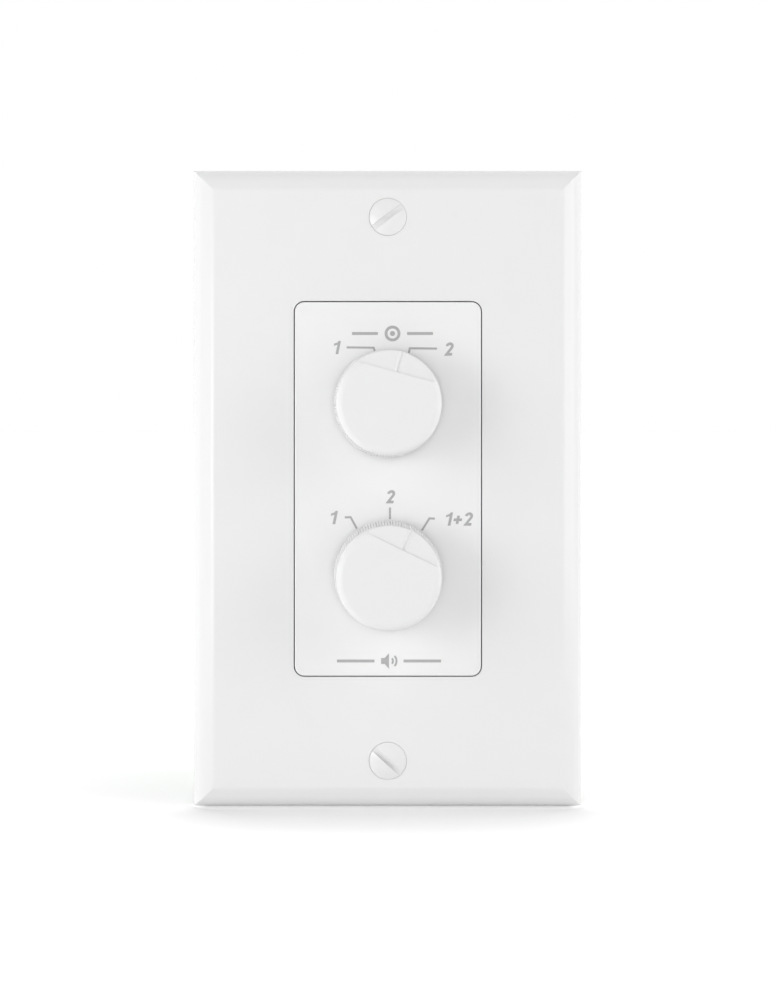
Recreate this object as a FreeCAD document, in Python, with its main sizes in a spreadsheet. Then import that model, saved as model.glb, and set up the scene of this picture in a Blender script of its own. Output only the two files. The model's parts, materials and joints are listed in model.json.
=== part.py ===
import FreeCAD, Part
import math
import os
import Sketcher
from FreeCAD import Placement, Rotation, Vector

# Speaker selector switch for a single-gang wall box: a wall plate, an insert panel and two
# rotary switches. Millimetres. The wall is the plane Y = 0 and the front faces -Y, +X is to the
# right of someone in front of it and +Z is up. The origin is the centre of the two box screws.
# "Depth" below means the distance in front of the wall, so a depth of 5 lies at Y = -5, and what
# is behind the wall has a negative depth.

DRIVING_SIZES = [
    # wall plate
    ("plate_width", 69.85, "wall plate, side to side"),
    ("plate_length", 114.3, "wall plate, top to bottom"),
    ("plate_depth", 5.6, "front of the plate to the wall"),
    ("plate_wall", 2.0, "thickness of the plate's front"),
    ("plate_rim", 2.6, "thickness of the plate's border at the wall"),
    ("plate_side", 1.2, "straight side of the plate, next to the wall"),
    ("bevel_run", 4.1, "width of the whole border bevel in front view"),
    ("bevel_angle", 27, "slope of the bevel's flat part, degrees"),
    ("roll_run", 2.2, "width of the rounded outer part of the bevel"),
    ("face_round", 1.5, "radius between bevel and front face"),
    ("collar_wall", 1.4, "collar behind the edge of the opening"),
    ("boss_wall", 2.2, "plastic round a plate screw"),
    ("rib_wall", 1.2, "ribs behind the plate"),
    # insert panel
    ("insert_width", 33.1, "insert panel, side to side"),
    ("insert_length", 66.5, "insert panel, top to bottom"),
    ("insert_corner", 1.7, "corner radius of the insert"),
    ("insert_proud", 0.3, "insert in front of the plate"),
    ("insert_wall", 2.4, "thickness of the insert's front"),
    ("insert_side", 1.8, "thickness of the insert's sides"),
    ("insert_edge", 0.25, "rounding of the insert's front edge"),
    ("flange_reach", 1.6, "insert flange, out from its sides"),
    ("flange_thick", 1.2, "thickness of the insert flange"),
    ("opening_gap", 0.2, "gap between insert and opening"),
    ("dial_spacing", 30.4, "upper to lower knob axis"),
    ("well_radius", 7.5, "well in the insert for a nut"),
    ("well_wall", 1.5, "boss round that well"),
    ("peg_radius", 1.0, "locating pegs of the insert"),
    ("peg_inset", 3.6, "peg axis in from the insert's sides"),
    # screws of the plate
    ("screw_spacing", 96.84, "plate screw to plate screw"),
    ("screw_head", 3.3, "radius of a plate screw's head"),
    ("screw_cone", 41, "half angle of the countersunk head, degrees"),
    ("screw_dome", 0.85, "height of the oval head's dome"),
    ("screw_thread", 1.75, "radius of a plate screw"),
    ("screw_length", 13, "plate screw under its head"),
    ("screw_point", 0.6, "chamfer at a screw's tip"),
    ("slot_width", 1.0, "slot in a plate screw"),
    ("slot_depth", 1.1, "depth of that slot below the dome's top"),
    ("upper_slot_turn", 36.5, "upper slot, degrees up from level"),
    ("lower_slot_turn", -42, "lower slot, degrees up from level"),
    # strap
    ("strap_thick", 1.5, "thickness of the steel strap"),
    ("strap_margin", 1.5, "strap's ends in from the plate's border"),
    ("strap_width", 44, "strap's middle panel, side to side"),
    ("panel_length", 72, "strap's middle panel, top to bottom"),
    ("strap_neck", 22, "strap between its middle and its ears"),
    ("ear_width", 34, "strap's ears, side to side"),
    ("ear_length", 9.5, "strap's ears, top to bottom"),
    ("strap_corner", 1.5, "corner radius of the strap"),
    ("lip_depth", 4.5, "folded sides of the strap, behind the wall"),
    ("fold_share", 0.8, "outer radius of a fold, as a share of the thickness"),
    ("box_spacing", 83.3, "box screw to box screw"),
    ("box_hole", 2.2, "radius of a box screw hole"),
    # knobs
    ("knob_gap", 0.6, "knob above the insert"),
    ("knob_height", 9.4, "knob, underside to face"),
    ("knob_base", 9.65, "radius at the knob's underside"),
    ("knob_top", 9.15, "radius where the knurled side ends"),
    ("knob_face", 8.0, "radius of the flat face"),
    ("shoulder_drop", 1.3, "height of the rounded shoulder"),
    ("collar_step", 0.12, "step between shoulder and knurled side"),
    ("knob_wall", 1.6, "thickness of the knob's shell"),
    ("hub_wall", 2.2, "plastic round the knob's bore"),
    ("knob_ribs", 3, "ribs between the knob's hub and shell"),
    ("knob_rib_wall", 1.0, "thickness of those ribs"),
    ("knob_rib_height", 4.0, "height of those ribs"),
    ("knurl_teeth", 120, "number of grooves in the knurl"),
    ("knurl_depth", 0.25, "depth of a groove of the knurl"),
    ("knurl_width", 0.3, "width of a groove of the knurl"),
    ("facet_chord", 5.5, "knob axis to the facet's inner edge"),
    ("facet_step", 0.35, "drop from the face to the facet"),
    ("facet_slope", 12, "slope of the facet, degrees"),
    ("pointer_width", 1.05, "pointer groove at its inner end"),
    ("pointer_flare", 1.35, "pointer groove at its outer end"),
    ("pointer_depth", 0.4, "depth of the pointer groove"),
    ("source_turn", 15.0, "upper knob at rest, degrees clockwise from up"),
    ("speaker_turn", 25.8, "lower knob at rest, degrees clockwise from up"),
    ("index_angle", 30, "one step of a switch, degrees"),
    # shaft, bushing and what holds them
    ("shaft_radius", 3.0, "radius of a shaft"),
    ("shaft_flat", 1.5, "shaft axis to the flat of its D"),
    ("shaft_grip", 6.0, "length of shaft inside the knob's bore"),
    ("tail_radius", 2.5, "radius of the shaft inside the rotor"),
    ("tail_flat", 1.7, "shaft axis to each flat of its tail"),
    ("pivot_radius", 1.5, "radius of the shaft's rear pivot"),
    ("bushing_radius", 4.5, "radius of the threaded bushing"),
    ("bushing_length", 7.0, "bushing in front of the wall plane"),
    ("bushing_flange", 8.0, "radius of the bushing's flange"),
    ("bushing_seat", 1.5, "thickness of that flange"),
    ("key_width", 2.0, "anti-turn key of the bushing"),
    ("key_offset", 6.6, "bushing axis to its key"),
    ("washer_radius", 6.8, "outer radius of the tooth washer"),
    ("washer_thick", 0.5, "thickness of the tooth washer"),
    ("washer_teeth", 12, "teeth of the washer"),
    ("tooth_gap", 1.0, "gap between two of those teeth"),
    ("nut_flats", 11.0, "nut, across its flats"),
    ("nut_thick", 2.0, "thickness of the nut"),
    ("nut_bevel", 30, "bevel of the nut's corners, degrees"),
    ("ring_radius", 4.6, "outer radius of the retaining ring"),
    ("ring_thick", 0.5, "thickness of the retaining ring"),
    ("ring_mouth", 4.1, "mouth of the retaining ring"),
    ("groove_depth", 0.5, "depth of the shaft's ring groove"),
    ("clip_thick", 0.35, "thickness of the knob's leaf clip"),
    ("clip_width", 3.0, "width of the knob's leaf clip"),
    # switch
    ("switch_width", 25.0, "switch housing, side to side"),
    ("switch_depth", 10.5, "switch housing, front to rear"),
    ("switch_corner", 3.0, "corner radius of the housing"),
    ("switch_bore", 11.0, "radius of the housing's cavity"),
    ("switch_front", 2.6, "thickness of the housing's front"),
    ("switch_bevel", 0.3, "bevel round the housing's front"),
    ("switch_poles", 4, "poles of a switch"),
    ("wheel_radius", 8.3, "detent wheel of the rotor"),
    ("wheel_thick", 2.2, "thickness of the detent wheel"),
    ("notch_radius", 1.15, "radius of a detent notch"),
    ("notch_depth", 0.6, "depth of a detent notch"),
    ("spring_end", 40, "ends of the detent spring, degrees from its middle"),
    ("spring_bend", 20, "where the spring's bulge meets its leaf, degrees"),
    ("rotor_hub", 4.3, "radius of the rotor's hub"),
    ("lug_width", 2.6, "stop lug of the rotor"),
    ("lug_reach", 8.6, "stop lug, out from the axis"),
    ("stop_thick", 1.4, "thickness of the stop ring"),
    ("stop_wall", 1.8, "wall of the stop ring"),
    ("stop_play", 1.0, "lug to tab at the end of the travel, degrees"),
    ("tab_angle", 24, "width of a stop tab, degrees"),
    ("disc_radius", 9.9, "contact disc of the rotor"),
    ("disc_thick", 1.3, "thickness of the contact disc"),
    ("leaf_thick", 0.3, "thickness of springs and wipers"),
    ("leaf_width", 1.6, "width of springs and wipers"),
    ("dimple_radius", 0.53, "contact dimple of a wiper"),
    ("lead_angle", 45, "first wiper at rest, degrees clockwise from up"),
    ("contact_ring", 8.7, "radius of the outer contacts' circle"),
    ("common_ring", 5.6, "radius of the common contacts' circle"),
    ("common_margin", 10, "common contact beyond the wiper's travel, degrees"),
    ("contact_radius", 0.9, "radius of a contact's head"),
    ("contact_height", 0.4, "height of a contact's head"),
    ("pin_radius", 0.4, "radius of a switch pin"),
    ("base_thick", 1.8, "thickness of the switch base"),
    ("register_height", 0.8, "part of the base inside the housing"),
    # board, posts, connectors
    ("board_width", 43.5, "circuit board, side to side"),
    ("board_length", 71, "circuit board, top to bottom"),
    ("board_thick", 1.6, "thickness of the circuit board"),
    ("board_corner", 2.0, "corner radius of the circuit board"),
    ("solder_length", 1.2, "pins beyond the board"),
    ("post_flats", 5.0, "hexagonal posts, across the flats"),
    ("post_spread", 34.0, "post to post, side to side"),
    ("post_rise", 40.0, "post to post, top to bottom"),
    ("post_shank", 1.6, "radius of a post's riveted shank"),
    ("board_screw", 1.25, "radius of a board screw"),
    ("board_screw_head", 2.6, "radius of its head"),
    ("board_screw_rise", 1.8, "height of its head"),
    ("board_screw_round", 0.6, "rounding of its head"),
    ("cross_length", 3.1, "cross recess of a board screw, end to end"),
    ("cross_width", 0.6, "width of that recess"),
    ("cross_depth", 0.9, "depth of that recess"),
    ("board_screw_length", 5.0, "board screw under its head"),
    ("pole_pitch", 5.08, "pole to pole in a connector"),
    ("pole_count", 4, "poles of a connector"),
    ("header_rise", 12.0, "header behind the board"),
    ("header_height", 8.6, "header, top to bottom"),
    ("header_wall", 0.9, "wall of a header"),
    ("header_floor", 3.0, "floor of a header"),
    ("header_offset", 30.6, "header axis above or below the middle"),
    ("header_side_gap", 0.5, "gap between two headers"),
    ("header_pin", 1.0, "side of a square header pin"),
    ("pin_reach", 8.0, "header pin above the header's floor"),
    ("plug_depth", 11.0, "plug behind its header"),
    ("plug_height", 11.4, "plug, top to bottom"),
    ("plug_shift", 0.9, "plug's middle out from its header's"),
    ("plug_bevel", 1.6, "bevel of the plug's rear edges"),
    ("cage_width", 3.9, "wire cage, side to side"),
    ("cage_height", 5.4, "wire cage, along its screw"),
    ("cage_length", 5.6, "wire cage, front to rear"),
    ("cage_wall", 0.6, "wall of a wire cage"),
    ("cage_inset", 1.2, "wire cage in from the plug's rear"),
    ("clamp_screw", 1.3, "radius of a clamping screw"),
    ("clamp_head", 1.7, "radius of its head"),
    ("clamp_head_rise", 1.2, "height of its head"),
    ("clamp_slot", 0.45, "slot in that head"),
    ("clamp_slot_depth", 0.6, "depth of that slot"),
    # clearances
    ("running_gap", 0.05, "radial play of a turning fit"),
    ("slip_gap", 0.1, "play of pieces that slide together"),
    ("loose_gap", 0.3, "air between pieces that pass each other"),
]

NODES = []


class Size:
    """A value with the spreadsheet formula it comes from, so that sketches stay bound to the sheet."""

    def __init__(self, value, formula=None):
        self.value = float(value)
        self.formula = formula or (f"{value}" if value >= 0 else f"({value})")

    def __add__(self, other):
        other = as_size(other)
        return Size(self.value + other.value, f"({self.formula} + {other.formula})")

    def __sub__(self, other):
        other = as_size(other)
        return Size(self.value - other.value, f"({self.formula} - {other.formula})")

    def __mul__(self, other):
        other = as_size(other)
        return Size(self.value * other.value, f"({self.formula} * {other.formula})")

    def __truediv__(self, other):
        other = as_size(other)
        return Size(self.value / other.value, f"({self.formula} / {other.formula})")

    def __neg__(self):
        return Size(-self.value, f"(0 - {self.formula})")

    def __radd__(self, other):
        return as_size(other) + self

    def __rsub__(self, other):
        return as_size(other) - self

    def __rmul__(self, other):
        return as_size(other) * self


def as_size(number):
    return number if isinstance(number, Size) else Size(number)


def sine(angle):
    angle = as_size(angle)
    return Size(math.sin(math.radians(angle.value)), f"sin({angle.formula})")


def cosine(angle):
    angle = as_size(angle)
    return Size(math.cos(math.radians(angle.value)), f"cos({angle.formula})")


def tangent(angle):
    angle = as_size(angle)
    return Size(math.tan(math.radians(angle.value)), f"tan({angle.formula})")


def root(number):
    number = as_size(number)
    return Size(math.sqrt(number.value), f"sqrt({number.formula})")


def square_arc(run, rise):
    """Radius of an arc that starts along its rise and ends at a distance of run across it."""
    return (run * run + rise * rise) / (run * 2)


def around(radius, angle):
    """The point at a radius and at an angle clockwise from up, as seen from the front."""
    return radius * sine(angle), radius * cosine(angle)


# ---- document and sheet ----

document = FreeCAD.newDocument("SpeakerSelector")
sheet = document.addObject("Spreadsheet::Sheet", "Sizes")


class Sheet:
    """The driving sizes by name."""


s = Sheet()
for row, (alias, number, meaning) in enumerate(DRIVING_SIZES, start=1):
    sheet.set(f"A{row}", alias)
    sheet.set(f"B{row}", str(number))
    sheet.set(f"C{row}", meaning)
    sheet.setAlias(f"B{row}", alias)
    setattr(s, alias, Size(number, f"Sizes.{alias}"))
document.recompute()


def bind(item, path, size):
    item.setExpression(path, as_size(size).formula)


# ---- sketches ----

FRONT = "XZ_Plane"
SIDE = "YZ_Plane"
LEVEL = "XY_Plane"


def origin_feature(body, role):
    return next(item for item in body.Origin.OriginFeatures if item.Role == role)


def new_body(label, at=None, turn=None):
    """An empty body, its own origin placed at (x, z) and turned clockwise as seen from the front."""
    body = document.addObject("PartDesign::Body", label)
    body.Label = label
    body.Placement = Placement(Vector(0, 0, 0), Rotation(Vector(0, 1, 0), turn.value if turn else 0))
    if at:
        bind(body, "Placement.Base.x", at[0])
        bind(body, "Placement.Base.z", at[1])
    if turn:
        bind(body, "Placement.Rotation.Angle", turn)
    NODES.append(body)
    return body


def new_sketch(body, plane, offset):
    """A sketch parallel to one of the body's origin planes. FRONT sketches lie at a depth."""
    sketch = body.newObject("Sketcher::SketchObject", "Sketch")
    sketch.AttachmentSupport = [(origin_feature(body, plane), "")]
    sketch.MapMode = "FlatFace"
    bind(sketch, "AttachmentOffset.Base.z", offset)
    return sketch


def constrain(sketch, constraints, sizes):
    """Adds constraints and binds those that carry a size to its formula."""
    first = sketch.ConstraintCount
    sketch.addConstraint(constraints)
    for index, size in sizes:
        if "Sizes." in size.formula:
            sketch.setExpression(f"Constraints[{first + index}]", size.formula)


def pin_point(constraints, sizes, geometry, position, x, y):
    """Dimensions one point of the geometry from the sketch's origin."""
    for kind, size, axis in (("DistanceX", x, -2), ("DistanceY", y, -1)):
        if size.value == 0 and "Sizes." not in size.formula:
            constraints.append(Sketcher.Constraint("PointOnObject", geometry, position, axis))
        else:
            sizes.append((len(constraints), size))
            constraints.append(Sketcher.Constraint(kind, -1, 1, geometry, position, size.value))


def arc_between(start, end, radius, centre_left):
    """The shorter arc between two points, always drawn counter-clockwise."""
    half = (end - start) * 0.5
    left = Vector(-half.y, half.x, 0).normalize()
    side = 1 if centre_left else -1
    height = math.sqrt(max(radius * radius - half.Length * half.Length, 0))
    centre = start + half + left * (side * height)
    first, last = (start, end) if centre_left else (end, start)
    angle_first = math.atan2(first.y - centre.y, first.x - centre.x)
    angle_last = math.atan2(last.y - centre.y, last.x - centre.x)
    if angle_last < angle_first:
        angle_last += 2 * math.pi
    return Part.ArcOfCircle(Part.Circle(centre, Vector(0, 0, 1), radius), angle_first, angle_last)


def loop(*corners):
    """A closed outline. A corner is (x, y), or (x, y, radius) where an arc leads to the next one;
    a positive radius has its centre on the left of the way along the outline."""

    def draw(sketch):
        points = [(as_size(corner[0]), as_size(corner[1])) for corner in corners]
        bends = [as_size(corner[2]) if len(corner) > 2 else None for corner in corners]
        places = [Vector(x.value, y.value, 0) for x, y in points]
        count = len(corners)
        base = sketch.GeometryCount
        geometry = []
        begins = []
        for index in range(count):
            start = places[index]
            end = places[(index + 1) % count]
            bend = bends[index]
            if bend is None:
                geometry.append(Part.LineSegment(start, end))
                begins.append(1)
            else:
                centre_left = bend.value > 0
                geometry.append(arc_between(start, end, abs(bend.value), centre_left))
                begins.append(1 if centre_left else 2)
        sketch.addGeometry(geometry, False)
        constraints = []
        sizes = []
        for index in range(count):
            following = (index + 1) % count
            constraints.append(Sketcher.Constraint(
                "Coincident", base + index, 3 - begins[index], base + following, begins[following]))
        for index, (x, y) in enumerate(points):
            pin_point(constraints, sizes, base + index, begins[index], x, y)
            bend = bends[index]
            if bend is not None:
                radius = bend if bend.value > 0 else -bend
                sizes.append((len(constraints), radius))
                constraints.append(Sketcher.Constraint("Radius", base + index, radius.value))
        constrain(sketch, constraints, sizes)

    return draw


def circle(x, y, radius):
    def draw(sketch):
        centre = (as_size(x), as_size(y))
        size = as_size(radius)
        place = Vector(centre[0].value, centre[1].value, 0)
        base = sketch.addGeometry(Part.Circle(place, Vector(0, 0, 1), size.value), False)
        constraints = []
        sizes = []
        pin_point(constraints, sizes, base, 3, *centre)
        sizes.append((len(constraints), size))
        constraints.append(Sketcher.Constraint("Radius", base, size.value))
        constrain(sketch, constraints, sizes)

    return draw


def box(x, y, width, height):
    """A rectangle about the point (x, y)."""
    right = x + width / 2
    left = x - width / 2
    top = y + height / 2
    bottom = y - height / 2
    return loop((left, bottom), (right, bottom), (right, top), (left, top))


def rounded_box(x, y, width, height, radius):
    """A rectangle about the point (x, y) with rounded corners."""
    right = x + width / 2
    left = x - width / 2
    top = y + height / 2
    bottom = y - height / 2
    return loop(
        (left + radius, bottom), (right - radius, bottom, radius),
        (right, bottom + radius), (right, top - radius, radius),
        (right - radius, top), (left + radius, top, radius),
        (left, top - radius), (left, bottom + radius, radius))


def hexagon(x, y, flats):
    corner = flats / root(3)
    points = [around(corner, 30 + 60 * index) for index in range(6)]
    return loop(*[(x + px, y + py) for px, py in points])


def sector(inner, outer, start, end):
    """Part of a ring between two angles, clockwise from up."""
    first_x, first_y = around(inner, start)
    second_x, second_y = around(outer, start)
    third_x, third_y = around(outer, end)
    fourth_x, fourth_y = around(inner, end)
    return loop((first_x, first_y), (second_x, second_y, -outer), (third_x, third_y),
                (fourth_x, fourth_y, inner))


def d_section(radius, flat):
    """A circle with a flat towards +Z."""
    half = root(radius * radius - flat * flat)
    return loop((-half, flat, radius), (-radius, 0, radius), (0, -radius, radius),
                (radius, 0, radius), (half, flat))


def double_d(radius, flat):
    """A circle with two flats, towards +Z and -Z."""
    half = root(radius * radius - flat * flat)
    return loop((half, flat), (-half, flat, radius), (-half, -flat), (half, -flat, radius))


# ---- features ----

def finish(feature, body):
    body.Tip = feature
    return feature


def prism(body, name, plane, low, high, shapes, cut=False):
    """Adds or cuts the shapes between two offsets along the plane's normal: a depth for FRONT
    sketches, X for SIDE and Z for LEVEL."""
    low = as_size(low)
    high = as_size(high)
    sketch = new_sketch(body, plane, high if cut else low)
    for shape in shapes:
        shape(sketch)
    feature = body.newObject("PartDesign::Pocket" if cut else "PartDesign::Pad", name)
    feature.Profile = sketch
    feature.Type = 0
    feature.Length = high.value - low.value
    bind(feature, "Length", high - low)
    return finish(feature, body)


def turned(body, name, corners, cut=False):
    """Adds or cuts a solid turned about the body's Y axis; corners are (radius, depth)."""
    sketch = new_sketch(body, LEVEL, 0)
    loop(*[(corner[0], -as_size(corner[1]), *corner[2:]) for corner in corners])(sketch)
    feature = body.newObject("PartDesign::Groove" if cut else "PartDesign::Revolution", name)
    feature.Profile = sketch
    feature.ReferenceAxis = (sketch, ["V_Axis"])
    feature.Angle = 360
    return finish(feature, body)


def carved(body, name, plane, low, low_shape, high, high_shape):
    """Cuts a straight loft between two shapes."""
    start = new_sketch(body, plane, low)
    low_shape(start)
    end = new_sketch(body, plane, high)
    high_shape(end)
    feature = body.newObject("PartDesign::SubtractiveLoft", name)
    feature.Profile = start
    feature.Sections = [end]
    feature.Ruled = True
    return finish(feature, body)


def round_pattern(body, name, features, count):
    """Repeats features evenly about the body's Y axis."""
    document.recompute()
    pattern = body.newObject("PartDesign::PolarPattern", name)
    pattern.Originals = features
    pattern.Axis = (origin_feature(body, "Y_Axis"), [""])
    pattern.Angle = 360
    pattern.Occurrences = int(as_size(count).value)
    bind(pattern, "Occurrences", count)
    return finish(pattern, body)


def rounded_edges(body, name, radius, wanted, kind="Fillet"):
    """Rounds, or chamfers, the edges of the body for which wanted(edge) is true."""
    document.recompute()
    base = body.Tip
    edges = [f"Edge{index}" for index, edge in enumerate(base.Shape.Edges, start=1) if wanted(edge)]
    if not edges:
        raise ValueError(f"{body.Label}: no edge for {name}")
    feature = body.newObject(f"PartDesign::{kind}", name)
    feature.Base = (base, edges)
    path = "Radius" if kind == "Fillet" else "Size"
    setattr(feature, path, as_size(radius).value)
    bind(feature, path, radius)
    return finish(feature, body)


SAME = 1e-4  # two lengths closer than this are the same


def flat_at(edge, depth):
    """True where the whole edge lies at one depth."""
    limits = edge.BoundBox
    return abs(limits.YMin + depth.value) < SAME and abs(limits.YMax + depth.value) < SAME


def is_round(edge, radius):
    """True where the edge is an arc of this radius."""
    return isinstance(edge.Curve, Part.Circle) and abs(edge.Curve.Radius - radius.value) < SAME


# ---- depths and places worked out from the driving sizes ----

BEYOND = 2.0  # how far a cut runs past the face it starts from

insert_front = s.plate_depth + s.insert_proud
nut_seat = insert_front - s.insert_wall
nut_rear = nut_seat + s.washer_thick
knob_under = insert_front + s.knob_gap
knob_front = knob_under + s.knob_height
ring_rear = s.bushing_length + s.slip_gap
hub_bottom = ring_rear + s.ring_thick + s.loose_gap
shaft_tip = hub_bottom + s.shaft_grip

wheel_front = -(s.switch_front + s.loose_gap)
wheel_rear = wheel_front - s.wheel_thick
stop_front = wheel_rear - s.loose_gap
stop_rear = stop_front - s.stop_thick
disc_front = stop_rear - s.loose_gap
disc_rear = disc_front - s.disc_thick
base_inner = s.register_height - s.switch_depth
contact_front = base_inner + s.contact_height
base_rear = -(s.switch_depth + s.base_thick)
rotor_rear = base_inner + s.loose_gap

board_front = base_rear - s.loose_gap
board_rear = board_front - s.board_thick
header_rear = board_rear - s.header_rise
header_seat = board_rear - s.header_floor
plug_rear = header_rear - s.plug_depth

dial_rise = s.dial_spacing / 2
opening_width = s.insert_width + s.opening_gap * 2
opening_length = s.insert_length + s.opening_gap * 2
screw_rise = s.screw_spacing / 2
box_rise = s.box_spacing / 2
brow_run = s.bevel_run - s.face_round * sine(s.bevel_angle)
brow_depth = s.plate_depth - s.face_round * (1 - cosine(s.bevel_angle))
crease_depth = brow_depth - (brow_run - s.roll_run) * tangent(s.bevel_angle)
roll_radius = square_arc(s.roll_run, crease_depth - s.plate_side)
bevel_runs = (0, s.roll_run, brow_run, s.bevel_run)
switch_positions = Size(360) / s.index_angle
lug_angle = s.lug_width / s.lug_reach * (180 / math.pi)
common_angle = s.lead_angle - s.index_angle
peg_x = s.insert_width / 2 - s.peg_inset
peg_z = s.insert_length / 2 - s.peg_inset
header_width = s.pole_pitch * s.pole_count
header_x = (header_width + s.header_side_gap) / 2
poles = [(index - (s.pole_count.value - 1) / 2) * s.pole_pitch for index in range(int(s.pole_count.value))]


def corners_of(x, z):
    """The four points at plus and minus x and z."""
    return [(x, z), (-x, z), (-x, -z), (x, -z)]


post_places = corners_of(s.post_spread / 2, s.post_rise / 2)
header_places = corners_of(header_x, s.header_offset)


# ---- wall plate and its screws ----

def plate_section():
    """The plate cut level: a flat back, and the border rolling inwards to the front on both sides."""
    side, crease, brow, face = (s.plate_width / 2 - run for run in bevel_runs)
    return loop(
        (side, 0), (side, -s.plate_side, -roll_radius), (crease, -crease_depth),
        (brow, -brow_depth, -s.face_round), (face, -s.plate_depth), (-face, -s.plate_depth, -s.face_round),
        (-brow, -brow_depth), (-crease, -crease_depth, -roll_radius), (-side, -s.plate_side), (-side, 0))


def plate_end(end):
    """What the same border takes off one end of the plate, seen from the side."""
    side, crease, brow, face = (end * (s.plate_length / 2 - run) for run in bevel_runs)
    front = -(s.plate_depth + BEYOND)
    outer = side + end * BEYOND
    return loop(
        (-s.plate_side, side, end * roll_radius), (-crease_depth, crease),
        (-brow_depth, brow, end * s.face_round), (-s.plate_depth, face), (front, face), (front, outer),
        (-s.plate_side, outer))


def make_wall_plate():
    body = new_body("wall_plate")
    half_width = s.plate_width / 2
    half_length = s.plate_length / 2
    floor = s.plate_depth - s.plate_wall
    prism(body, "plate", LEVEL, -half_length, half_length, [plate_section()])
    far = half_width + BEYOND
    for end in (1, -1):
        prism(body, "end_bevel", SIDE, -far, far, [plate_end(end)], cut=True)
    hollow = rounded_box(0, 0, s.plate_width - s.plate_rim * 2, s.plate_length - s.plate_rim * 2,
                         s.plate_wall)
    prism(body, "hollow_back", FRONT, -BEYOND, floor, [hollow], cut=True)
    collar = rounded_box(0, 0, opening_width + s.collar_wall * 2, opening_length + s.collar_wall * 2,
                         s.insert_corner + s.opening_gap + s.collar_wall)
    collar_rear = s.strap_thick + s.flange_thick + s.loose_gap
    prism(body, "collar", FRONT, collar_rear, floor + s.slip_gap, [collar])
    bosses = [circle(0, side * screw_rise, s.screw_head + s.boss_wall) for side in (1, -1)]
    boss_rear = s.strap_thick + s.slip_gap
    prism(body, "screw_bosses", FRONT, boss_rear, floor + s.slip_gap, bosses)
    rib_end = half_width - s.plate_rim / 2
    rib_start = s.screw_head + s.boss_wall / 2
    ribs = [box(x, z, rib_end - rib_start, s.rib_wall)
            for x, z in corners_of((rib_start + rib_end) / 2, screw_rise)]
    prism(body, "ribs", FRONT, boss_rear, floor + s.slip_gap, ribs)
    opening = rounded_box(0, 0, opening_width, opening_length, s.insert_corner + s.opening_gap)
    prism(body, "opening", FRONT, 0, s.plate_depth + BEYOND, [opening], cut=True)
    holes = [circle(0, side * screw_rise, s.screw_thread + s.loose_gap) for side in (1, -1)]
    prism(body, "screw_holes", FRONT, 0, s.plate_depth + BEYOND, holes, cut=True)
    for side in (1, -1):
        seat = circle(0, side * screw_rise, s.screw_head + s.slip_gap)
        cone_depth = (s.screw_head - s.screw_thread - s.slip_gap) / tangent(s.screw_cone)
        bottom = circle(0, side * screw_rise, s.screw_thread + s.slip_gap * 2)
        carved(body, "countersink", FRONT, s.plate_depth - cone_depth, bottom, s.plate_depth, seat)
    return body


def make_plate_screws():
    """Two oval-head screws; each is turned about its own axis and placed at its hole."""
    body = new_body("plate_screws")
    head_under = s.plate_depth - (s.screw_head - s.screw_thread) / tangent(s.screw_cone)
    tip = s.plate_depth - s.screw_length
    dome_radius = square_arc(s.screw_dome, s.screw_head)
    top = s.plate_depth + s.screw_dome
    for side, slot_turn in ((1, s.upper_slot_turn), (-1, s.lower_slot_turn)):
        rise = side * screw_rise
        sketch = new_sketch(body, SIDE, 0)
        outline = [(-top, rise), (-top, rise + s.slot_width / 4, -dome_radius),
                   (-s.plate_depth, rise + s.screw_head),
                   (-head_under, rise + s.screw_thread), (s.screw_point - tip, rise + s.screw_thread),
                   (-tip, rise + s.screw_thread - s.screw_point), (-tip, rise)]
        loop(*outline)(sketch)
        closing_edge = f"Edge{len(outline)}"
        feature = body.newObject("PartDesign::Revolution", "screw")
        feature.Profile = sketch
        feature.ReferenceAxis = (sketch, [closing_edge])
        feature.Angle = 360
        finish(feature, body)
        along = s.screw_head + s.slip_gap
        across = s.slot_width / 2
        corners = []
        for far, near in ((1, 1), (-1, 1), (-1, -1), (1, -1)):
            x = far * along * cosine(slot_turn) - near * across * sine(slot_turn)
            z = far * along * sine(slot_turn) + near * across * cosine(slot_turn)
            corners.append((x, rise + z))
        prism(body, "slot", FRONT, top - s.slot_depth, top + BEYOND, [loop(*corners)], cut=True)
    return body


# ---- strap and insert ----

def keyways():
    """Holes for the keys that keep the bushings from turning."""
    width = s.key_width + s.slip_gap * 2
    height = s.key_width / 2 + s.slip_gap * 2
    return [box(0, side * dial_rise + s.key_offset, width, height) for side in (1, -1)]


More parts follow.
